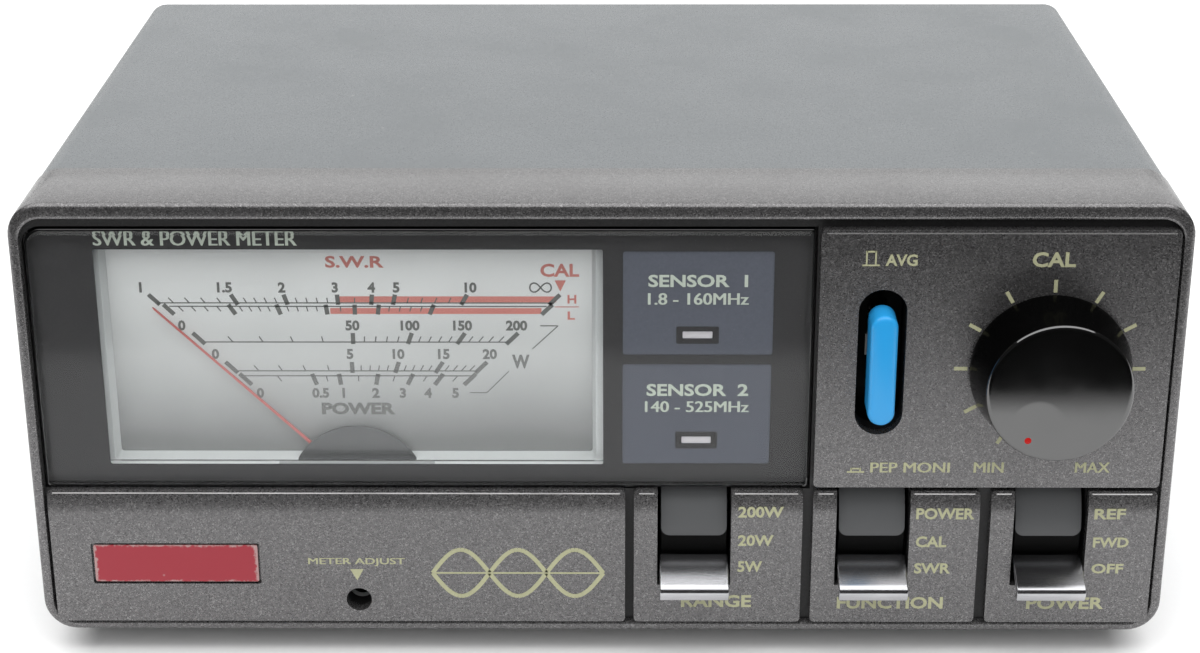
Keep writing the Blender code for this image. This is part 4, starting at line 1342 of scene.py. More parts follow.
@dataclass
class Window:
    """The clear window, its printed back and the two lamp openings."""

    box: tuple[float, float, float, float] = (-75.6, 28.15, 21.85, 59.3)
    front: float = 0.9
    back: float = 2.9
    bevel: float = 0.7
    border: float = 0.3
    aperture: tuple[float, float, float, float] = (-66.9, 0.3, 24.7, 56.0)
    panels: tuple = ((2.95, 22.93, 40.96, 55.74), (2.92, 22.84, 24.83, 39.58))
    words: tuple = (
        Word("SWR & POWER METER", -66.68, -39.96, 56.55, 58.35),
        Word("SENSOR  1", 6.31, 19.48, 50.71, 52.47),
        Word("1.8 - 160MHz", 6.32, 19.57, 48.2, 49.86),
        Word("SENSOR  2", 6.15, 19.82, 34.92, 36.71),
        Word("140 - 525MHz", 5.99, 19.9, 32.55, 34.16),
    )

    def build(self) -> None:
        """Builds the slab, then each layer of the print behind it."""
        left, right, low, high = self.box
        step = self.bevel
        corners = (0.4, 0.4, 0.4, 2.3)
        inner = (0.3, 0.3, 0.3, 1.7)

        def ring(inset: float, radii: Sequence[float]) -> Outline:
            """The slab's edge drawn in by an inset."""
            return rounded(left + inset, right - inset, low + inset, high - inset, radii, 8)

        thin = self.border
        rings = [
            (self.front, ring(step, inner)),
            (self.front + step - thin, ring(thin, corners)),
            (self.back, ring(thin, corners)),
        ]
        slab = Solid().loft(Axis.Y, rings)
        near = self.front + step - thin
        rings = [
            (near + 0.1, ring(thin + 0.01, corners)),
            (near, ring(thin + 0.01, corners)),
            (near - 0.02, ring(thin * 0.8, corners)),
            (near + 0.03, ring(thin * 0.4, corners)),
            (near + 0.12, ring(thin * 0.1, corners)),
            (near + 0.3, ring(0.0, corners)),
            (self.back, ring(0.0, corners)),
            (self.back, ring(thin + 0.01, corners)),
        ]
        border = Solid().loft(Axis.Y, rings, closed=True)
        border.publish("window_polished_edge", Finishes.gloss_edge, slot="black_acrylic")
        slab.publish("window_slab", Finishes.acrylic, slot="black_acrylic", stands_for=["display_window"])
        lamps = [rounded(10.92, 14.9, z - 0.52, z + 0.52, 0.12, 3) for z in LAMP_HEIGHTS]
        a_left, a_right, a_low, a_high = self.aperture
        holes = [rounded(a_left, a_right, a_low, a_high, 0.25, 4)]
        holes += [rounded(*panel, 0.35, 4) for panel in self.panels]
        edge = rounded(left + 0.08, right - 0.08, low + 0.08, high - 0.08, corners, 8)
        mask = Solid().plate(edge, holes, self.back + 0.03, self.back + 0.13)
        mask.publish("window_mask", Finishes.mask, slot="black_acrylic")
        fields = Solid()
        for panel, lamp in zip(self.panels, lamps):
            p_left, p_right, p_low, p_high = panel
            grown = rounded(p_left - 0.3, p_right + 0.3, p_low - 0.3, p_high + 0.3, 0.4, 3)
            fields.plate(grown, [lamp], self.back + 0.15, self.back + 0.25)
        fields.publish("sensor_fields", Finishes.sensor_panel, slot="black_acrylic")
        frames = Solid()
        for z, lamp in zip(LAMP_HEIGHTS, lamps):
            outer = rounded(10.07, 15.76, z - 1.26, z + 1.24, 0.2, 3)
            frames.plate(outer, [lamp], self.back + 0.11, self.back + 0.145)
        frames.publish("lamp_frames", Finishes.mask, slot="black_acrylic")
        text = Solid()
        for word in self.words:
            add_word(text, word, self.back + 0.01, 0.015)
        text.publish("window_lettering", Finishes.pale_ink, slot="black_acrylic")


ENDLESS = "endless"


@dataclass
class Scale:
    """One scale of the dial: its ticks between two lines, its minor divisions and its labels."""

    line_z: float
    tick_z: float
    ticks: tuple[float, ...]
    labels: tuple[str, ...]
    label_x: tuple[float, ...]
    label_z: float
    line: tuple[float, float]
    divisions: tuple[int, ...]
    height: float = 1.5

    def at(self, x: float, z: float) -> Point:
        """Where the ray from the pivot through (x, tick_z) crosses another height."""
        share = (z - PIVOT[1]) / (self.tick_z - PIVOT[1])
        return (PIVOT[0] + (x - PIVOT[0]) * share, z)

    def draw(self, solid: Solid, front: float, thick: float) -> None:
        """Adds the scale's line, ticks and labels to a solid.

        Args:
            solid: What the print is added to.
            front: The Y of the ink's outer face.
            thick: How thick the ink is.
        """
        solid.bar((self.line[0], self.line_z), (self.line[1], self.line_z), 0.16, front, thick)
        for x in self.ticks:
            past = self.line_z - (self.tick_z - self.line_z) * 0.22
            solid.bar(self.at(x, past), self.at(x, self.tick_z), 0.6, front, thick)
        for (x0, x1), count in zip(zip(self.ticks, self.ticks[1:]), self.divisions):
            for i in range(1, count):
                x = x0 + (x1 - x0) * i / count
                end = self.line_z + (self.tick_z - self.line_z) * 0.62
                solid.bar(self.at(x, self.line_z), self.at(x, end), 0.16, front, thick)
        for text, x in zip(self.labels, self.label_x):
            if text == ENDLESS:
                self.endless(solid, x, front, thick)
            else:
                add_word(solid, Word.centred(text, x, self.label_z, self.height, 0.04), front, thick)

    def endless(self, solid: Solid, x: float, front: float, thick: float) -> None:
        """Adds the lying eight for an endless ratio, drawn as one crossing stroke."""
        count, half = 36, 1.45
        points = []
        for i in range(count + 1):
            turn = math.tau * i / count
            spread = 1.0 + math.sin(turn) ** 2
            run = half * math.cos(turn) / spread
            rise = self.height * 1.25 * math.sin(turn) * math.cos(turn) / spread
            points.append((x + run, self.label_z + rise))
        for a, b in zip(points, points[1:]):
            solid.bar(a, b, 0.2, front, thick)


@dataclass
class Meter:
    """The moving-coil meter behind the window."""

    plate_front: float = 7.6
    scales: tuple = (
        Scale(
            46.62,
            47.83,
            (-60.9, -49.8, -42.7, -35.5, -30.8, -27.7, -18.0, -5.5),
            ("1", "1.5", "2", "3", "4", "5", "10", ENDLESS),
            (-61.9, -50.6, -42.9, -35.75, -30.85, -27.5, -17.5, -8.1),
            48.86,
            (-59.9, -6.3),
            (5, 5, 5, 2, 1, 5, 1),
        ),
        Scale(
            46.12,
            44.94,
            (-57.6, -49.3, -43.2, -36.9, -33.2, -30.1, -23.1, -8.0),
            (),
            (),
            0.0,
            (-58.2, -7.3),
            (5, 5, 5, 2, 1, 5, 1),
        ),
        Scale(
            40.9,
            42.23,
            (-55.3, -33.6, -25.6, -18.4, -11.2),
            ("0", "50", "100", "150", "200"),
            (-56.7, -33.6, -25.8, -18.7, -11.4),
            43.33,
            (-53.8, -12.3),
            (5, 5, 5, 5),
        ),
        Scale(
            36.63,
            37.95,
            (-51.1, -33.9, -27.5, -21.5, -15.5),
            ("0", "5", "10", "15", "20"),
            (-52.4, -34.1, -27.5, -21.35, -15.1),
            39.13,
            (-49.7, -16.8),
            (5, 5, 5, 5),
        ),
        Scale(
            35.9,
            34.57,
            (-47.7, -38.8, -35.5, -30.7, -26.4, -22.7, -18.7),
            ("0", "0.5", "1", "2", "3", "4", "5"),
            (-46.6, -38.35, -35.2, -30.8, -27.1, -23.65, -19.9),
            33.34,
            (-48.8, -17.5),
            (2, 2, 2, 2, 2, 2),
        ),
    )

    def build(self) -> None:
        """Builds the pane, the printed plate, the hub cover, the needle and the zero screw."""
        self.pane()
        self.surround()
        self.plate()
        self.hub()
        self.needle()
        self.zero_screw()

    def pane(self) -> None:
        """The clear front of the meter's housing."""
        span = Span.of("meter_cover")
        edge = rounded(span.left, span.right, span.low, span.high, 0.5, 4)
        Solid().prism(Axis.Y, edge, span.front, span.back).publish(
            "dial_pane", Finishes.dial_pane, slot="clear_plastic", stands_for=["meter_cover"], edge=0.1
        )

    def surround(self) -> None:
        """The housing's inner step that frames the scale plate."""
        inner = rounded(-66.2, -1.2, 24.65, 58.0, 0.4, 4)
        flare = rounded(-66.7, -0.7, 24.2, 58.4, 0.5, 4)
        outer = rounded(-68.8, 1.8, 23.2, 59.0, 0.6, 4)
        rings = [(5.5, outer), (5.5, flare), (7.55, inner), (7.55, outer)]
        solid = Solid().loft(Axis.Y, rings, closed=True)
        solid.publish("dial_surround", Finishes.housing, slot="meter_white", edge=0.08)

    def plate(self) -> None:
        """The white scale plate with its grey and red print."""
        span = Span.of("scale_plate")
        edge = rounded(span.left, span.right, min(span.low, 24.3), span.high, 0.8, 5)
        plate = Solid().plate(edge, [], span.front, span.back)
        plate.publish("dial_plate", Finishes.plate, slot="meter_white", stands_for=["scale_plate"], edge=0.06)
        front, thick = self.plate_front - 0.03, 0.05
        grey = Solid()
        for scale in self.scales:
            scale.draw(grey, front, thick)
        for start, end in (
            ((-8.2, 43.3), (-5.8, 43.3)),
            ((-5.8, 43.3), (-9.3, 39.9)),
            ((-17.9, 33.4), (-15.6, 33.4)),
            ((-15.6, 33.4), (-12.55, 36.6)),
        ):
            grey.bar(start, end, 0.14, front, thick)
        add_word(grey, Word("W", -12.1, -9.7, 37.0, 39.05, 0.04), front, thick)
        add_word(grey, Word("POWER", -38.3, -28.2, 30.1, 31.9, 0.045), front, thick)
        grey.publish("dial_print", Finishes.dial_ink, slot="meter_white")
        red = Solid()
        red.bar((-35.5, 47.15), (-6.0, 47.15), 0.85, front + 0.01, thick)
        red.bar((-36.5, 45.45), (-8.0, 45.45), 0.85, front + 0.01, thick)
        red.bar((-6.2, 46.06), (-2.95, 46.06), 0.12, front, thick)
        for word in (
            Word("S.W.R", -36.9, -29.05, 51.7, 53.4),
            Word("CAL", -8.1, -2.9, 50.4, 52.3),
            Word("H", -4.5, -3.3, 46.55, 47.8),
            Word("L", -4.5, -3.5, 44.2, 45.4),
        ):
            add_word(red, word, front, thick)
        red.prism(Axis.Y, [(-5.45, 48.3), (-4.7, 49.9), (-6.2, 49.9)], front, front + thick)
        red.publish("dial_red_print", Finishes.dial_red, slot="meter_white")

    def hub(self) -> None:
        """The moulded cover over the needle's hub."""
        span = Span.of("hub_cover")
        x, z = PIVOT
        outline = arc(x, z, 9.2, 0, 180, 40)
        outline += [(x - 9.2, 13.5), (x - 6.5, 11.2), (x + 6.5, 11.2), (x + 9.2, 13.5)]
        solid = Solid().prism(Axis.Y, outline, span.front, span.front + 0.4)
        solid.box((x - 5, x + 5), (span.front + 0.1, span.back), (11.2, 12.4))
        name = "needle_hub_cover"
        solid.publish(name, Finishes.hub, slot="black_plastic", stands_for=["hub_cover"], edge=0.12)

    def needle(self) -> None:
        """The lacquered needle with its tail, at rest."""
        hub = arc(0, 0, 1.7, 80, -80, 16)
        outline = [(-0.1, 37.2), (0.0, 37.6), (0.1, 37.2), (0.16, 12.0), *hub, (0.6, -5.5), (-0.6, -5.5)]
        outline += [(-a, b) for a, b in reversed(hub)] + [(-0.16, 12.0)]
        solid = Solid().prism(Axis.Y, outline, -0.14, 0.14)
        solid.moved(turned_on(PIVOT, NEEDLE_REST, 6.65))
        solid.publish("needle_blade", Finishes.needle, "needle_body", "needle_red", ["needle"])

    def zero_screw(self) -> None:
        """The slotted head of the zero adjuster."""
        profile = [(0, 0.1), (1.1, 0.1), (1.4, 0.2), (1.5, 0.4), (1.5, 1.6), (0.9, 1.6)]
        profile += [(0.9, 6.2), (1.6, 6.2), (1.6, 7.0), (0, 7.0)]
        solid = Solid().turned(Axis.Y, (0, 0), profile, 36)
        solid.turned(Axis.Y, (0, 1.1), [(0, 6.6), (0.4, 6.6), (0.4, 8.6), (0, 8.6)], 14)
        for side in (-1, 1):
            half = arc(0, 0, 1.46, 8, 172, 18)
            solid.prism(Axis.Y, [(a, side * b) for a, b in half], 0.0, 0.7)
        solid.moved(Matrix.Translation((ADJUST[0], 4.6, ADJUST[1])))
        name = "zero_screw_head"
        # The head wears the near-black knob plastic, darker than the moulded black, as painted shade in its
        # deep hole.
        solid.publish(name, Finishes.knob, "zero_screw_body", "black_plastic", ["zero_adjust_screw"])


# --- Controls ----------------------------------------------------------------------------------


@dataclass
class Knob:
    """The turned calibration knob with its finger dimple, and the nut behind it."""

    face: float = -8.5
    back: float = -0.6
    face_radius: float = 9.6
    base_radius: float = 10.7
    dimple_at: float = 5.35
    dimple_radius: float = 3.3
    dimple_depth: float = 0.03
    dot_at: float = 7.6
    segments: int = 96

    def build(self) -> None:
        """Builds the knob in its rest turn, the red fill of its pointer dot and the nut."""
        turn = turned_on(KNOB, KNOB_REST)
        disc = Solid()
        self.face_skin(disc)
        disc.moved(turn)
        disc.publish("knob_face", Finishes.knob_face, "cal_knob_body", "knob_black")
        solid = Solid()
        side = [
            (0, self.face + 0.9),
            (self.face_radius - 0.1, self.face + 0.9),
            (self.face_radius - 0.02, self.face + 0.46),
            (self.face_radius, self.face + 0.48),
            (self.base_radius - 0.08, -1.7),
            (self.base_radius, -1.3),
            (self.base_radius, self.back + 0.15),
            (self.base_radius - 0.15, self.back),
            (7.8, self.back),
            (7.8, -3.7),
            (3.2, -3.7),
            (3.2, -7.3),
            (0, -7.3),
        ]
        solid.turned(Axis.Y, (0, 0), side, self.segments)
        solid.moved(turn)
        solid.publish("calibration_knob", Finishes.knob, "cal_knob_body", "knob_black", ["cal_knob"])
        dot = Solid()
        falls = ((0, 0.0), (0.42, 0.002), (0.5, 0.03), (0.54, 0.5), (0, 0.5))
        dot.turned(Axis.Y, (0, self.dot_at), [(radius, self.face + fall) for radius, fall in falls], 28)
        dot.moved(turn)
        dot.publish("pointer_dot", Finishes.red_dot, "cal_knob_body", "knob_black")
        nut = Solid()
        nut.plate(circle(*KNOB, 6.4, 6), [circle(*KNOB, 4.2, 32)], -2.5, -0.3)
        nut.publish("panel_nut", Finishes.nickel, slot="nickel", stands_for=["pot_nut"], edge=0.2)

    def face_skin(self, solid: Solid) -> None:
        """Adds the front face as rings that run from the dimple's middle out to the face's edge."""
        count = self.segments
        hollow = [0.0, 0.2, 0.42, 0.62, 0.8, 0.9, 0.96, 1.0, 1.03]
        depths = [self.dimple_depth * max(0.0, 1 - share * share) for share in hollow]
        depths[-2:] = [0.002, 0.0]
        centre = solid.bm.verts.new((0, self.face + self.dimple_depth, self.dimple_at))
        rings = []
        for share, depth in list(zip(hollow, depths))[1:]:
            ring = circle(0, self.dimple_at, self.dimple_radius * share, count)
            rings.append([solid.bm.verts.new((a, self.face + depth, b)) for a, b in ring])
        outer = circle(0, 0, self.face_radius - 0.45, count)
        inner = circle(0, self.dimple_at, self.dimple_radius * 1.03, count)
        for share in (0.04, 0.5, 0.96, 1.0):
            ring = [(a + (c - a) * share, b + (d - b) * share) for (a, b), (c, d) in zip(inner, outer)]
            rings.append([solid.bm.verts.new((a, self.face, b)) for a, b in ring])
        for inset, fall in ((0.32, 0.02), (0.18, 0.08), (0.07, 0.2), (0.01, 0.36), (0.0, 0.46), (0.3, 0.8)):
            ring = circle(0, 0, self.face_radius - inset, count)
            rings.append([solid.bm.verts.new((a, self.face + fall, b)) for a, b in ring])
        for i in range(count):
            solid.bm.faces.new((centre, rings[0][i], rings[0][(i + 1) % count]))
        solid.cap(rings[-1])
        solid.skin(rings)


@dataclass
class PushButton:
    """The blue cap and the wire spring behind it."""

    front: float = -3.2
    length: float = 4.4

    def build(self) -> None:
        """Builds the cap with its softly crowned front, then the spring."""
        x, z = BUTTON
        rings: list[Ring] = []
        crown = ((0.0, 0.62), (0.08, 0.34), (0.24, 0.14), (0.5, 0.02), (0.8, 0.0))
        for along, inset in (*crown, (self.length, 0.0)):
            half_w, half_h = 1.8 - inset, 7.85 - inset
            outline = rounded(x - half_w, x + half_w, z - half_h, z + half_h, half_w - 0.005, 12)
            rings.append((self.front + along, outline))
        cap = Solid().loft(Axis.Y, rings)
        cap.publish("button_cap", Finishes.button, "push_button_body", "button_blue", ["push_button"])
        stem = Solid().box((x - 1.1, x + 1.1), (self.front + self.length, 6.0), (z - 6.4, z + 6.4))
        stem.publish("button_stem", Finishes.drum, "push_button_body", "black_plastic", edge=0.3)
        well = Solid()
        wall = rounded(x - 3.9, x + 3.9, z - 11.1, z + 11.1, 3.8, 14)
        slot = rounded(x - 3.25, x + 3.25, z - 10.5, z + 10.5, 3.2, 14)
        passage = rounded(x - 1.3, x + 1.3, z - 6.6, z + 6.6, 0.4, 3)
        well.plate(wall, [slot], FRONT_WALL, 6.4)
        well.plate(wall, [passage], 6.4, 7.0)
        well.publish("button_well", Finishes.drum, slot="black_plastic")
        self.spring(x, z)

    @staticmethod
    def spring(x: float, z: float) -> None:
        """Winds the return spring as a round wire with closed end turns."""
        turns, per_turn, sides, radius, wire = 3, 28, 8, 2.9, 0.27
        first, last = 9.15, 13.25
        solid = Solid()
        loops = []
        count = turns * per_turn
        for i in range(count + 1):
            share = i / count
            turn = math.tau * i / per_turn
            rise = min(1.0, max(0.0, (share - 0.12) / 0.76))
            middle = Vector((math.cos(turn) * radius, first + (last - first) * rise, math.sin(turn) * radius))
            out = Vector((math.cos(turn), 0, math.sin(turn)))
            ring = []
            for k in range(sides):
                t = math.tau * k / sides
                place = middle + out * wire * math.cos(t) + Vector((0, wire * math.sin(t), 0))
                ring.append(solid.bm.verts.new(place + Vector((x, 0, z))))
            loops.append(ring)
        solid.skin(loops)
        solid.cap(loops[0], loops[-1])
        solid.publish("return_spring", Finishes.nickel, slot="nickel", stands_for=["push_spring"])


@dataclass
class LeverSwitch:
    """One three-position lever: drum, bright paddle and bracket."""

    word: str
    x: float
    drum_radius: float = 9.6
    drum_half: float = 4.6
    reach: float = 16.7
    paddle_half: float = 4.7

    def place(self) -> Matrix:
        """The lever's rest place, from its own frame whose start is on the pivot."""
        turn = Matrix.Rotation(math.radians(LEVER_REST), 4, "X")
        return Matrix.Translation((self.x, *LEVER_PIVOT)) @ turn

    def build(self) -> None:
        """Builds the drum with its axle and stub, then the paddle, in their rest tilt."""
        body = f"{self.word}_lever_body"
        drum = Solid()
        sector = arc(0, 0, self.drum_radius - 0.16, 105, 255, 48) + arc(0, 0, 2.4, -60, 60, 12)
        drum.prism(Axis.X, sector, -self.drum_half, self.drum_half)
        drum.prism(Axis.X, circle(0, 0, 1.2, 20), -self.drum_half - 1.3, self.drum_half + 1.3)
        drum.box((-3.0, 3.0), (-self.reach + 1.4, -7.5), (-1.35, -0.45))
        drum.moved(self.place())
        name = f"{self.word}_drum"
        drum.publish(name, Finishes.drum, body, "black_plastic", [f"{self.word}_lever"], edge=0.22)
        self.reflection_sheet(body)
        tip = -self.reach
        span = -9.95 - (tip + 0.75)
        crown = [(-9.95 - span * i / 10, 0.8 + 0.55 * (i / 10) * (1 - i / 10)) for i in range(11)]
        outline = [*crown, (tip + 0.42, 0.66), (tip + 0.14, 0.42), (tip, 0.1)]
        outline += [(tip, -0.95), (tip + 0.08, -1.1), (tip + 0.25, -1.15), (tip + 0.95, -1.15)]
        outline += [(tip + 1.0, -1.0), (tip + 1.0, -0.3), (tip + 1.1, -0.1), (-9.95, -0.1)]
        paddle = Solid().prism(Axis.X, outline, -self.paddle_half, self.paddle_half)
        paddle.moved(self.place())
        name = f"{self.word}_bright_paddle"
        paddle.publish(name, Finishes.chrome, body, "chrome", [f"{self.word}_paddle"], edge=0.16)

    def reflection_sheet(self, body: str) -> None:
        """Bends a thin leaf, whose lower corners are round, round the front of the drum; its satin grey is a
        painted reflection on the glossy drum.
        """
        low, high, corner = 158.6, 106.0, 1.2
        solid = Solid()
        rows = []
        for step in range(33):
            angle = low + (high - low) * (step / 32) ** 1.6
            rise = math.radians(low - angle) * self.drum_radius
            cut = max(0.0, 1 - rise / corner)
            half = self.drum_half - 0.1 - corner * (1 - math.sqrt(1 - cut * cut))
            turn = math.radians(angle)
            row = []
            for inset, sides in ((0.0, range(-6, 7)), (0.1, range(6, -7, -1))):
                radius = self.drum_radius - inset
                y, z = radius * math.cos(turn), radius * math.sin(turn)
                row += [solid.bm.verts.new((half * side / 6, y, z)) for side in sides]
            rows.append(row)
        solid.skin(rows)
        solid.cap(rows[0], rows[-1])
        solid.moved(self.place())
        solid.publish(f"{self.word}_dust_leaf", Finishes.reflection_sheet, body, "black_plastic")


@dataclass
class PanelPrint:
    """The pale lettering and ticks on the front pads, and the badge."""

    words: tuple = (
        Word("AVG", 37.19, 41.37, 54.7, 56.33),
        Word("CAL", 56.33, 62.0, 54.55, 56.64),
        Word("PEP MONI", 36.45, 47.09, 24.76, 26.27),
        Word("MIN", 50.4, 54.35, 24.77, 26.29),
        Word("MAX", 64.05, 68.67, 24.79, 26.31),
        Word("METER ADJUST", -40.28, -27.01, 10.33, 11.59),
        Word("200W", 18.71, 24.89, 17.89, 19.55),
        Word("20W", 18.76, 23.61, 13.54, 15.22),
        Word("5W", 18.77, 22.13, 9.51, 11.17),
        Word("RANGE", 11.05, 20.74, 3.99, 5.9),
        Word("POWER", 42.94, 50.87, 17.66, 19.36),
        Word("CAL", 43.08, 47.27, 13.38, 15.07),
        Word("SWR", 43.03, 48.01, 9.32, 10.93),
        Word("FUNCTION", 32.61, 47.25, 3.8, 5.66),
        Word("REF", 67.18, 71.42, 17.71, 19.29),
        Word("FWD", 67.3, 72.16, 13.39, 14.92),
        Word("OFF", 67.37, 71.74, 9.36, 10.87),
        Word("POWER", 58.79, 69.46, 3.78, 5.64),
    )
    tick_rings: tuple[float, float] = (10.9, 12.68)

    def build(self) -> None:
        """Builds the lettering, the knob's ticks, the button's marks, the wave sign and the badge."""
        front, back = PAD_PRINT
        thick = back - front
        ink = Solid()
        for word in self.words:
            add_word(ink, word, front, thick)
        low, high = self.tick_rings
        tick = Solid().box((low, high), (0.0, thick), (-0.25, 0.25))
        fan = SetOut(11, (KNOB[0], front, KNOB[1]), radius=0.0, first_angle=-60.0, angle_step=30.0)
        fan.add_to(ink, tick, Finishes.panel_ink)
        ink.prism(Axis.Y, [(-33.65, 8.14), (-32.74, 9.85), (-34.57, 9.85)], front, back)
        self.push_mark(ink, (34.18, 36.47), (54.7, 56.8), 1.0)
        self.push_mark(ink, (33.26, 35.6), (24.74, 26.05), 0.45)
        self.wave(ink)
        ink.publish("panel_print", Finishes.panel_ink, slot="bezel_paint")
        badge = Span.of("badge_plate")
        plate = Solid()
        edge = rounded(badge.left, badge.right, badge.low, badge.high, 0.25, 4)
        plate.prism(Axis.Y, edge, badge.front, badge.back)
        plate.publish("enamel_badge", Finishes.badge, slot="badge_red", stands_for=["badge_plate"], edge=0.12)

    @staticmethod
    def push_mark(ink: Solid, x: Point, z: Point, height: float) -> None:
        """Adds the little sign of a button standing out of its panel or pushed in."""
        front, back = PAD_PRINT
        thick = back - front
        width = x[1] - x[0]
        step = width * 0.24
        low = z[0] + 0.1
        top = low + (z[1] - z[0] - 0.2) * height
        ink.bar((x[0], low), (x[1], low), 0.22, front + 0.004, thick)
        ink.bar((x[0] + step, low - 0.11), (x[0] + step, top + 0.11), 0.22, front, thick)
        ink.bar((x[0] + step, top), (x[1] - step, top), 0.22, front, thick)
        ink.bar((x[1] - step, low - 0.11), (x[1] - step, top + 0.11), 0.22, front, thick)

    @staticmethod
    def wave(ink: Solid) -> None:
        """Adds the standing-wave sign that sits where a type name would."""
        front, back = PAD_PRINT
        left, right, middle, swing, lobes, steps = -23.2, 0.3, 9.3, 3.6, 3, 48
        for sign in (-1, 1):
            points = []
            for i in range(steps + 1):
                share = i / steps
                rise = sign * swing * math.sin(math.pi * lobes * share)
                points.append((left + (right - left) * share, middle + rise))
            for a, b in zip(points, points[1:]):
                ink.bar(a, b, 0.6, front, back - front)
        ink.bar((left, middle), (right, middle), 0.24, front - 0.004, back - front)


# --- Rear panel and inside ---------------------------------------------------------------------


@dataclass
class RearPanel:
    """Coax sockets, power inlet, selector and legends on the back."""

    flange_front: float = 103.3
    barrel_back: float = 118.0
    barrel_radius: float = 7.9
    mouth_radius: float = 5.9
    thread_pitch: float = 1.06
    threads: int = 10

    def build(self) -> None:
        """Builds each socket with its thread, the flange screws, the inlet and the legends."""
        words = [f"sensor_{number}_{side}" for number in (1, 2) for side in ("tx", "ant")]
        for word, x in zip(words, SOCKETS):
            self.socket(word, x)
        self.flange_screws()
        self.inlet()
        self.selector()
        self.legends()

    def socket(self, word: str, x: float) -> None:
        """Builds one flanged coax socket and its ribbed insulator."""
        centre = (x, SOCKET_Z)
        start, end = self.flange_front, self.barrel_back
        solid = Solid()
        square = rounded(x - 12.7, x + 12.7, SOCKET_Z - 12.7, SOCKET_Z + 12.7, 1.5, 6)
        solid.plate(square, [circle(*centre, 4.9, 40)], start, start + 1.6)
        root = self.barrel_radius - 0.55
        barrel = [
            (4.9, 97.0),
            (7.2, 97.0),
            (7.2, start + 1.0),
            (root, start + 1.0),
            (root, end - 0.5),
            (root - 0.3, end - 0.12),
            (root - 0.6, end),
            (self.mouth_radius + 0.25, end),
            (self.mouth_radius, end - 0.3),
            (self.mouth_radius, 112.0),
            (4.9, 112.0),
        ]
        solid.turned(Axis.Y, centre, barrel, 64, closed=True)
        ridge = Solid()
        crest = self.barrel_radius
        half = self.thread_pitch / 2
        profile = [(root - 0.1, -half * 0.85), (crest, -0.08), (crest, 0.08), (root - 0.1, half * 0.85)]
        ridge.turned(Axis.Y, (0, 0), profile, 64, closed=True)
        first = end - 1.2 - self.thread_pitch * (self.threads - 1)
        row = SetOut(self.threads, (x, first, SOCKET_Z), (0.0, self.thread_pitch, 0.0))
        row.add_to(solid, ridge, Finishes.nickel)
        tooth = Solid().prism(Axis.Y, [(5.95, -0.38), (7.0, -0.28), (7.0, 0.28), (5.95, 0.38)], 0.0, 0.34)
        teeth = SetOut(20, (x, end - 0.36, SOCKET_Z), radius=0.0, first_angle=9.0, angle_step=18.0)
        teeth.add_to(solid, tooth, Finishes.nickel)
        name = f"{word}_shell"
        solid.publish(name, Finishes.nickel, slot="nickel", stands_for=[f"{word}_socket"], edge=0.1)
        span = Span.of(f"{word}_insulator")
        outer = (span.right - span.left) / 2
        profile = [(3.1, span.front), (outer, span.front), (outer, span.back - 0.15)]
        profile += [(outer - 0.15, span.back), (4.1, span.back), (3.95, span.back - 0.6)]
        profile += [(3.55, span.back - 0.6), (3.4, span.back), (3.1, span.back - 0.02)]
        ring = Solid().turned(Axis.Y, centre, profile, 48, closed=True)
        ring.publish(f"{word}_ring", Finishes.cream, slot="insulator_cream", stands_for=[f"{word}_insulator"])

    def flange_screws(self) -> None:
        """Sets out the four cross-headed screws at each socket's flange."""
        solid = Solid()
        pitch = 9.1
        for x in SOCKETS:
            head = Solid()
            profile = [(0, 0.95), (0.6, 1.0), (1.7, 0.95), (2.4, 0.7), (2.75, 0.3), (2.8, 0.0), (0, 0.0)]
            head.turned(Axis.Y, (0, 0), profile, 28)
            for turn in (0, 90):
                wall = Solid().box((-1.3, 1.3), (0.9, 1.06), (-0.2, 0.2))
                wall.moved(Matrix.Rotation(math.radians(turn), 4, "Y"))
                head.absorb(wall)
            start = (x, self.flange_front + 1.62, SOCKET_Z)
            reach = pitch * math.sqrt(2)
            fan = SetOut(
                4, start, radius=reach, first_angle=45.0, angle_step=90.0, roll=80.0, seed=int(x)
            )
            fan.add_to(solid, head, Finishes.nickel)
        solid.publish("flange_screws", Finishes.nickel, slot="nickel")

    def inlet(self) -> None:
        """Builds the round power inlet with its centre pin."""
        profile = [
            (0, 92.0),
            (4.0, 92.0),
            (4.0, 103.3),
            (5.6, 103.3),
            (5.6, 104.4),
            (5.45, 104.62),
            (5.2, 104.7),
            (3.05, 104.7),
            (2.75, 104.4),
            (2.75, 95.0),
            (1.0, 95.0),
            (1.0, 103.4),
            (0.75, 103.75),
            (0.3, 103.8),
            (0, 103.8),
        ]
        solid = Solid().turned(Axis.Y, JACK, profile, 48)
        solid.publish("power_inlet", Finishes.black_plastic, slot="black_plastic", stands_for=["dc_jack"])

    def selector(self) -> None:
        """Builds the slide switch's ribbed slider at its rest end."""
        span = Span.of("selector_slider")
        solid = Solid().box((span.left, span.right), (span.front, span.back - 0.35), (span.low, span.high))
        count = 5
        pitch = (span.high - span.low - 0.6) / (count - 1)
        rib = Solid().box((-1.8, 1.8), (-0.1, 0.35), (-0.22, 0.22))
        row = SetOut(count, (span.centre.x, span.back - 0.35, span.low + 0.3), (0.0, 0.0, pitch))
        row.add_to(solid, rib, Finishes.black_plastic)
        name, body = "ribbed_slider", "selector_body_slider"
        solid.publish(name, Finishes.black_plastic, body, "black_plastic", ["selector_slider"], edge=0.08)

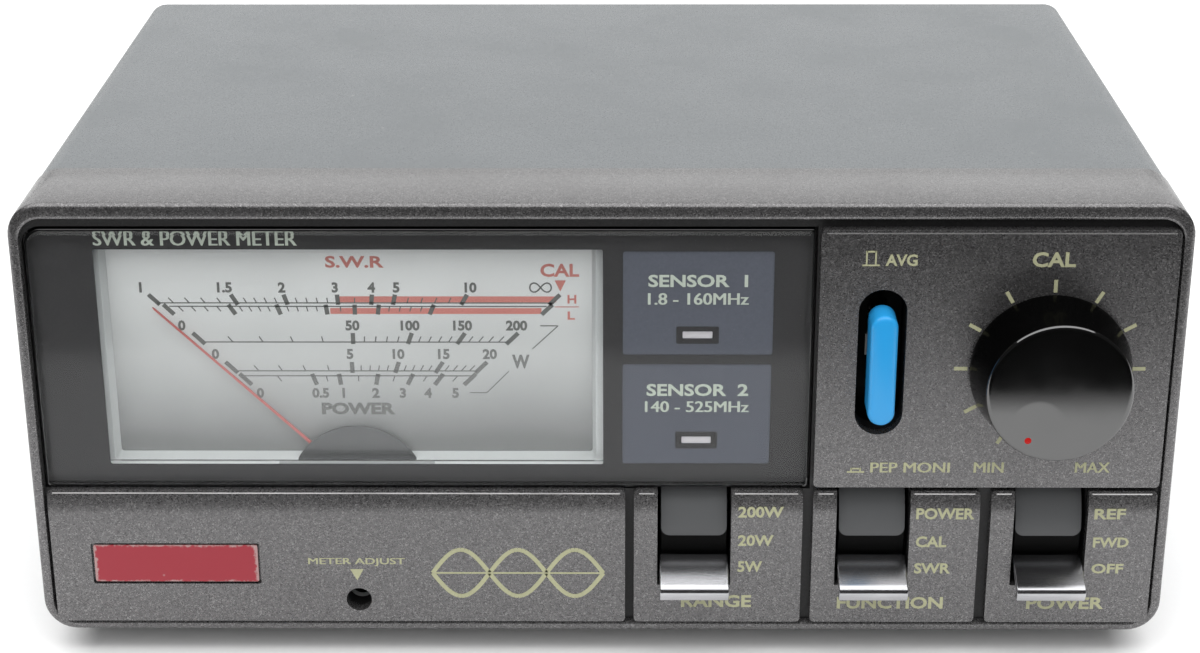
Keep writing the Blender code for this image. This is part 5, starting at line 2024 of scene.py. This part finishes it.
    def legends(self) -> None:
        """Prints the rear panel's plain legends and a thin line round each pair of sockets."""
        outer, thick = REAR_FACE + 0.03, 0.06
        ink = Solid()
        for number, left, right in ((1, SOCKETS[0], SOCKETS[1]), (2, SOCKETS[2], SOCKETS[3])):
            middle = (left + right) / 2
            words = [
                Word.centred(f"SENSOR {number}", middle, 55.6, 2.6),
                Word.centred("TX", left, 19.6, 2.2),
                Word.centred("ANT", right, 19.6, 2.2),
            ]
            for word in words:
                add_word(ink, word, outer, thick, Facing.REAR)
        words = [
            Word.centred("DC 13.8V", JACK[0], 11.6, 1.8),
            Word.centred("1", SELECTOR[0], 52.0, 1.9),
            Word.centred("2", SELECTOR[0], 38.0, 1.9),
        ]
        for word in words:
            add_word(ink, word, outer, thick, Facing.REAR)
        for left, right in ((SOCKETS[0], SOCKETS[1]), (SOCKETS[2], SOCKETS[3])):
            z = 52.6
            middle = (left + right) / 2
            for a, b in ((left - 8, middle - 11.5), (middle + 11.5, right + 8)):
                ink.bar((a, 55.6), (b, 55.6), 0.3, outer - thick, thick)
                end = a if a < middle else b
                ink.bar((end, 55.6), (end, z), 0.3, outer - thick, thick)
        ink.publish("rear_legends", Finishes.rear_ink, slot="zinc_sheet")


@dataclass
class Movement:
    """What turns inside the meter: the coil's windings."""

    turns: int = 15

    def build(self) -> None:
        """Winds the coil with Geometry Nodes and sets it at the needle's rest turn."""
        solid = Solid()
        half, front, back = 6.6, 13.0, 27.0
        loop = Solid()
        outer = rounded(-half, half, front, back, 0.5, 4)
        inner = rounded(-half + 1.1, half - 1.1, front + 1.1, back - 1.1, 0.3, 4)
        grown = rounded(-half + 0.07, half - 0.07, front + 0.07, back - 0.07, 0.45, 4)
        rings = [(-0.05, inner), (-0.05, grown), (0.0, outer), (0.05, grown), (0.05, inner)]
        loop.loft(Axis.Z, rings, closed=True)
        pitch = 1.7 / (self.turns - 1)
        row = SetOut(self.turns, (0.0, 0.0, -0.85), (0.0, 0.0, pitch))
        row.add_to(solid, loop, Finishes.copper)
        solid.turned(Axis.Y, (0, 0), [(0, 7.1), (0.35, 7.1), (0.5, 7.4), (0.5, 13.5), (0, 13.5)], 20)
        solid.turned(Axis.Y, (0, 0), [(0, 26.5), (0.5, 26.5), (0.5, 32.6), (0.3, 33.0), (0, 33.0)], 20)
        solid.moved(turned_on(PIVOT, NEEDLE_REST))
        solid.publish("coil_winding", Finishes.copper, "needle_body", "copper", ["moving_coil"])


# --- Room --------------------------------------------------------------------------------------


@dataclass(frozen=True)
class Softbox:
    """One rectangular studio light; places in metres."""

    name: str
    place: tuple[float, float, float]
    target: tuple[float, float, float]
    size: tuple[float, float]
    power: float
    mirrored: bool = True

    def build(self) -> None:
        """Adds the light and aims it."""
        data = bpy.data.lights.new(self.name, "AREA")
        data.shape = "RECTANGLE"
        data.size, data.size_y = self.size
        data.energy = self.power
        obj = bpy.data.objects.new(self.name, data)
        bpy.context.scene.collection.objects.link(obj)
        obj.location = self.place
        aim = Vector(self.target) - Vector(self.place)
        obj.rotation_euler = aim.to_track_quat("-Z", "Y").to_euler()
        obj.visible_camera = False
        obj.visible_glossy = self.mirrored


@dataclass
class Room:
    """The pale floor, the soft lights and the camera."""

    camera_place: tuple[float, float, float] = (0.002307, -0.346212, 0.172077)
    camera_turn: tuple[float, float, float] = (67.81, 0.1262, 0.4145)
    lens: float = 71.828
    shift_y: float = -0.01795
    sky: float = 0.05
    backdrop: float = 1.0
    floor_reach: float = 1.3
    # Distances ahead of the front, in metres, over which the floor's painted shade sets in.
    shade_reach: tuple[float, float] = (0.098, 0.108)
    lights: tuple = (
        Softbox("ceiling_light", (0.0, 0.1, 1.0), (0.0, 0.1, 0.0), (1.9, 1.74), 24.5),
        Softbox("front_light", (0.0, -0.95, 0.8), (0.0, 0.0, 0.05), (1.5, 1.35), 11.5, False),
        Softbox("back_light", (0.0, 1.5, 0.5), (0.0, 0.0, 0.1), (2.6, 0.9), 9.0),
    )

    def build(self) -> None:
        """Builds the floor, the world, the lights and the camera."""
        self.floor()
        world = bpy.data.worlds.new("studio")
        world.use_nodes = True
        background = world.node_tree.nodes["Background"]
        background.inputs["Color"].default_value = (1.0, 1.0, 1.0, 1.0)
        nodes = Nodes(world.node_tree)
        seen = nodes.camera_ray()
        strength = nodes.spread(seen, 0.0, 1.0, self.sky, self.backdrop)
        nodes.link(strength, background.inputs["Strength"])
        bpy.context.scene.world = world
        for light in self.lights:
            light.build()
        data = bpy.data.cameras.new("camera")
        data.lens = self.lens
        data.sensor_width = 36.0
        data.shift_y = self.shift_y
        data.clip_start = 0.01
        camera = bpy.data.objects.new("camera", data)
        bpy.context.scene.collection.objects.link(camera)
        camera.location = self.camera_place
        camera.rotation_euler = [math.radians(angle) for angle in self.camera_turn]
        bpy.context.scene.camera = camera
        bpy.context.scene.view_settings.view_transform = "Standard"

    def floor(self) -> None:
        """Adds the floor: pale to the camera, and to every other ray dark past a line just ahead of the
        front, a painted shade for the unlit room that the gloss mirrors.
        """
        mesh = bpy.data.meshes.new("floor")
        reach = self.floor_reach
        corners = [(-reach, -reach, 0), (reach, -reach, 0), (reach, reach, 0), (-reach, reach, 0)]
        mesh.from_pydata(corners, [], [(0, 1, 2, 3)])
        material = bpy.data.materials.new("pale_floor")
        material.use_nodes = True
        nodes = Nodes(material.node_tree)
        shader = material.node_tree.nodes["Principled BSDF"]
        place = nodes.place()
        fibre = nodes.noise(place, 900.0, 3.0)
        pale = nodes.mix(fibre, (0.92, 0.92, 0.92, 1.0), (0.94, 0.94, 0.94, 1.0))
        parts = nodes.add("ShaderNodeSeparateXYZ", {"Vector": place})
        dark_from, dark_to = (FRONT_Y - ahead for ahead in self.shade_reach)
        far = nodes.spread(parts.outputs[1], dark_to, dark_from, 1.0, 0.0)
        # Painted shade: the floor goes near black past the shade line for every ray but the camera's.
        floor_shade = nodes.mix(far, pale, (0.004, 0.004, 0.004, 1.0))
        seen = nodes.camera_ray()
        nodes.link(nodes.mix(seen, floor_shade, pale), shader.inputs["Base Color"])
        shader.inputs["Roughness"].default_value = 0.8
        shader.inputs["Specular IOR Level"].default_value = 0.1
        mesh.materials.append(material)
        floor = bpy.data.objects.new("floor", mesh)
        bpy.context.scene.collection.objects.link(floor)


def main() -> None:
    """Builds the whole look, piece by piece."""
    logging.basicConfig(level=logging.INFO, format="%(name)s: %(message)s")
    dress_packed_nodes()
    for part in (Casing(), Window(), Meter(), Knob(), PushButton()):
        part.build()
    for word, x in LEVER_X.items():
        LeverSwitch(word, x).build()
    for part in (PanelPrint(), RearPanel(), Movement(), Room()):
        part.build()
    bpy.context.view_layer.update()


if __name__ == "__main__":
    main()
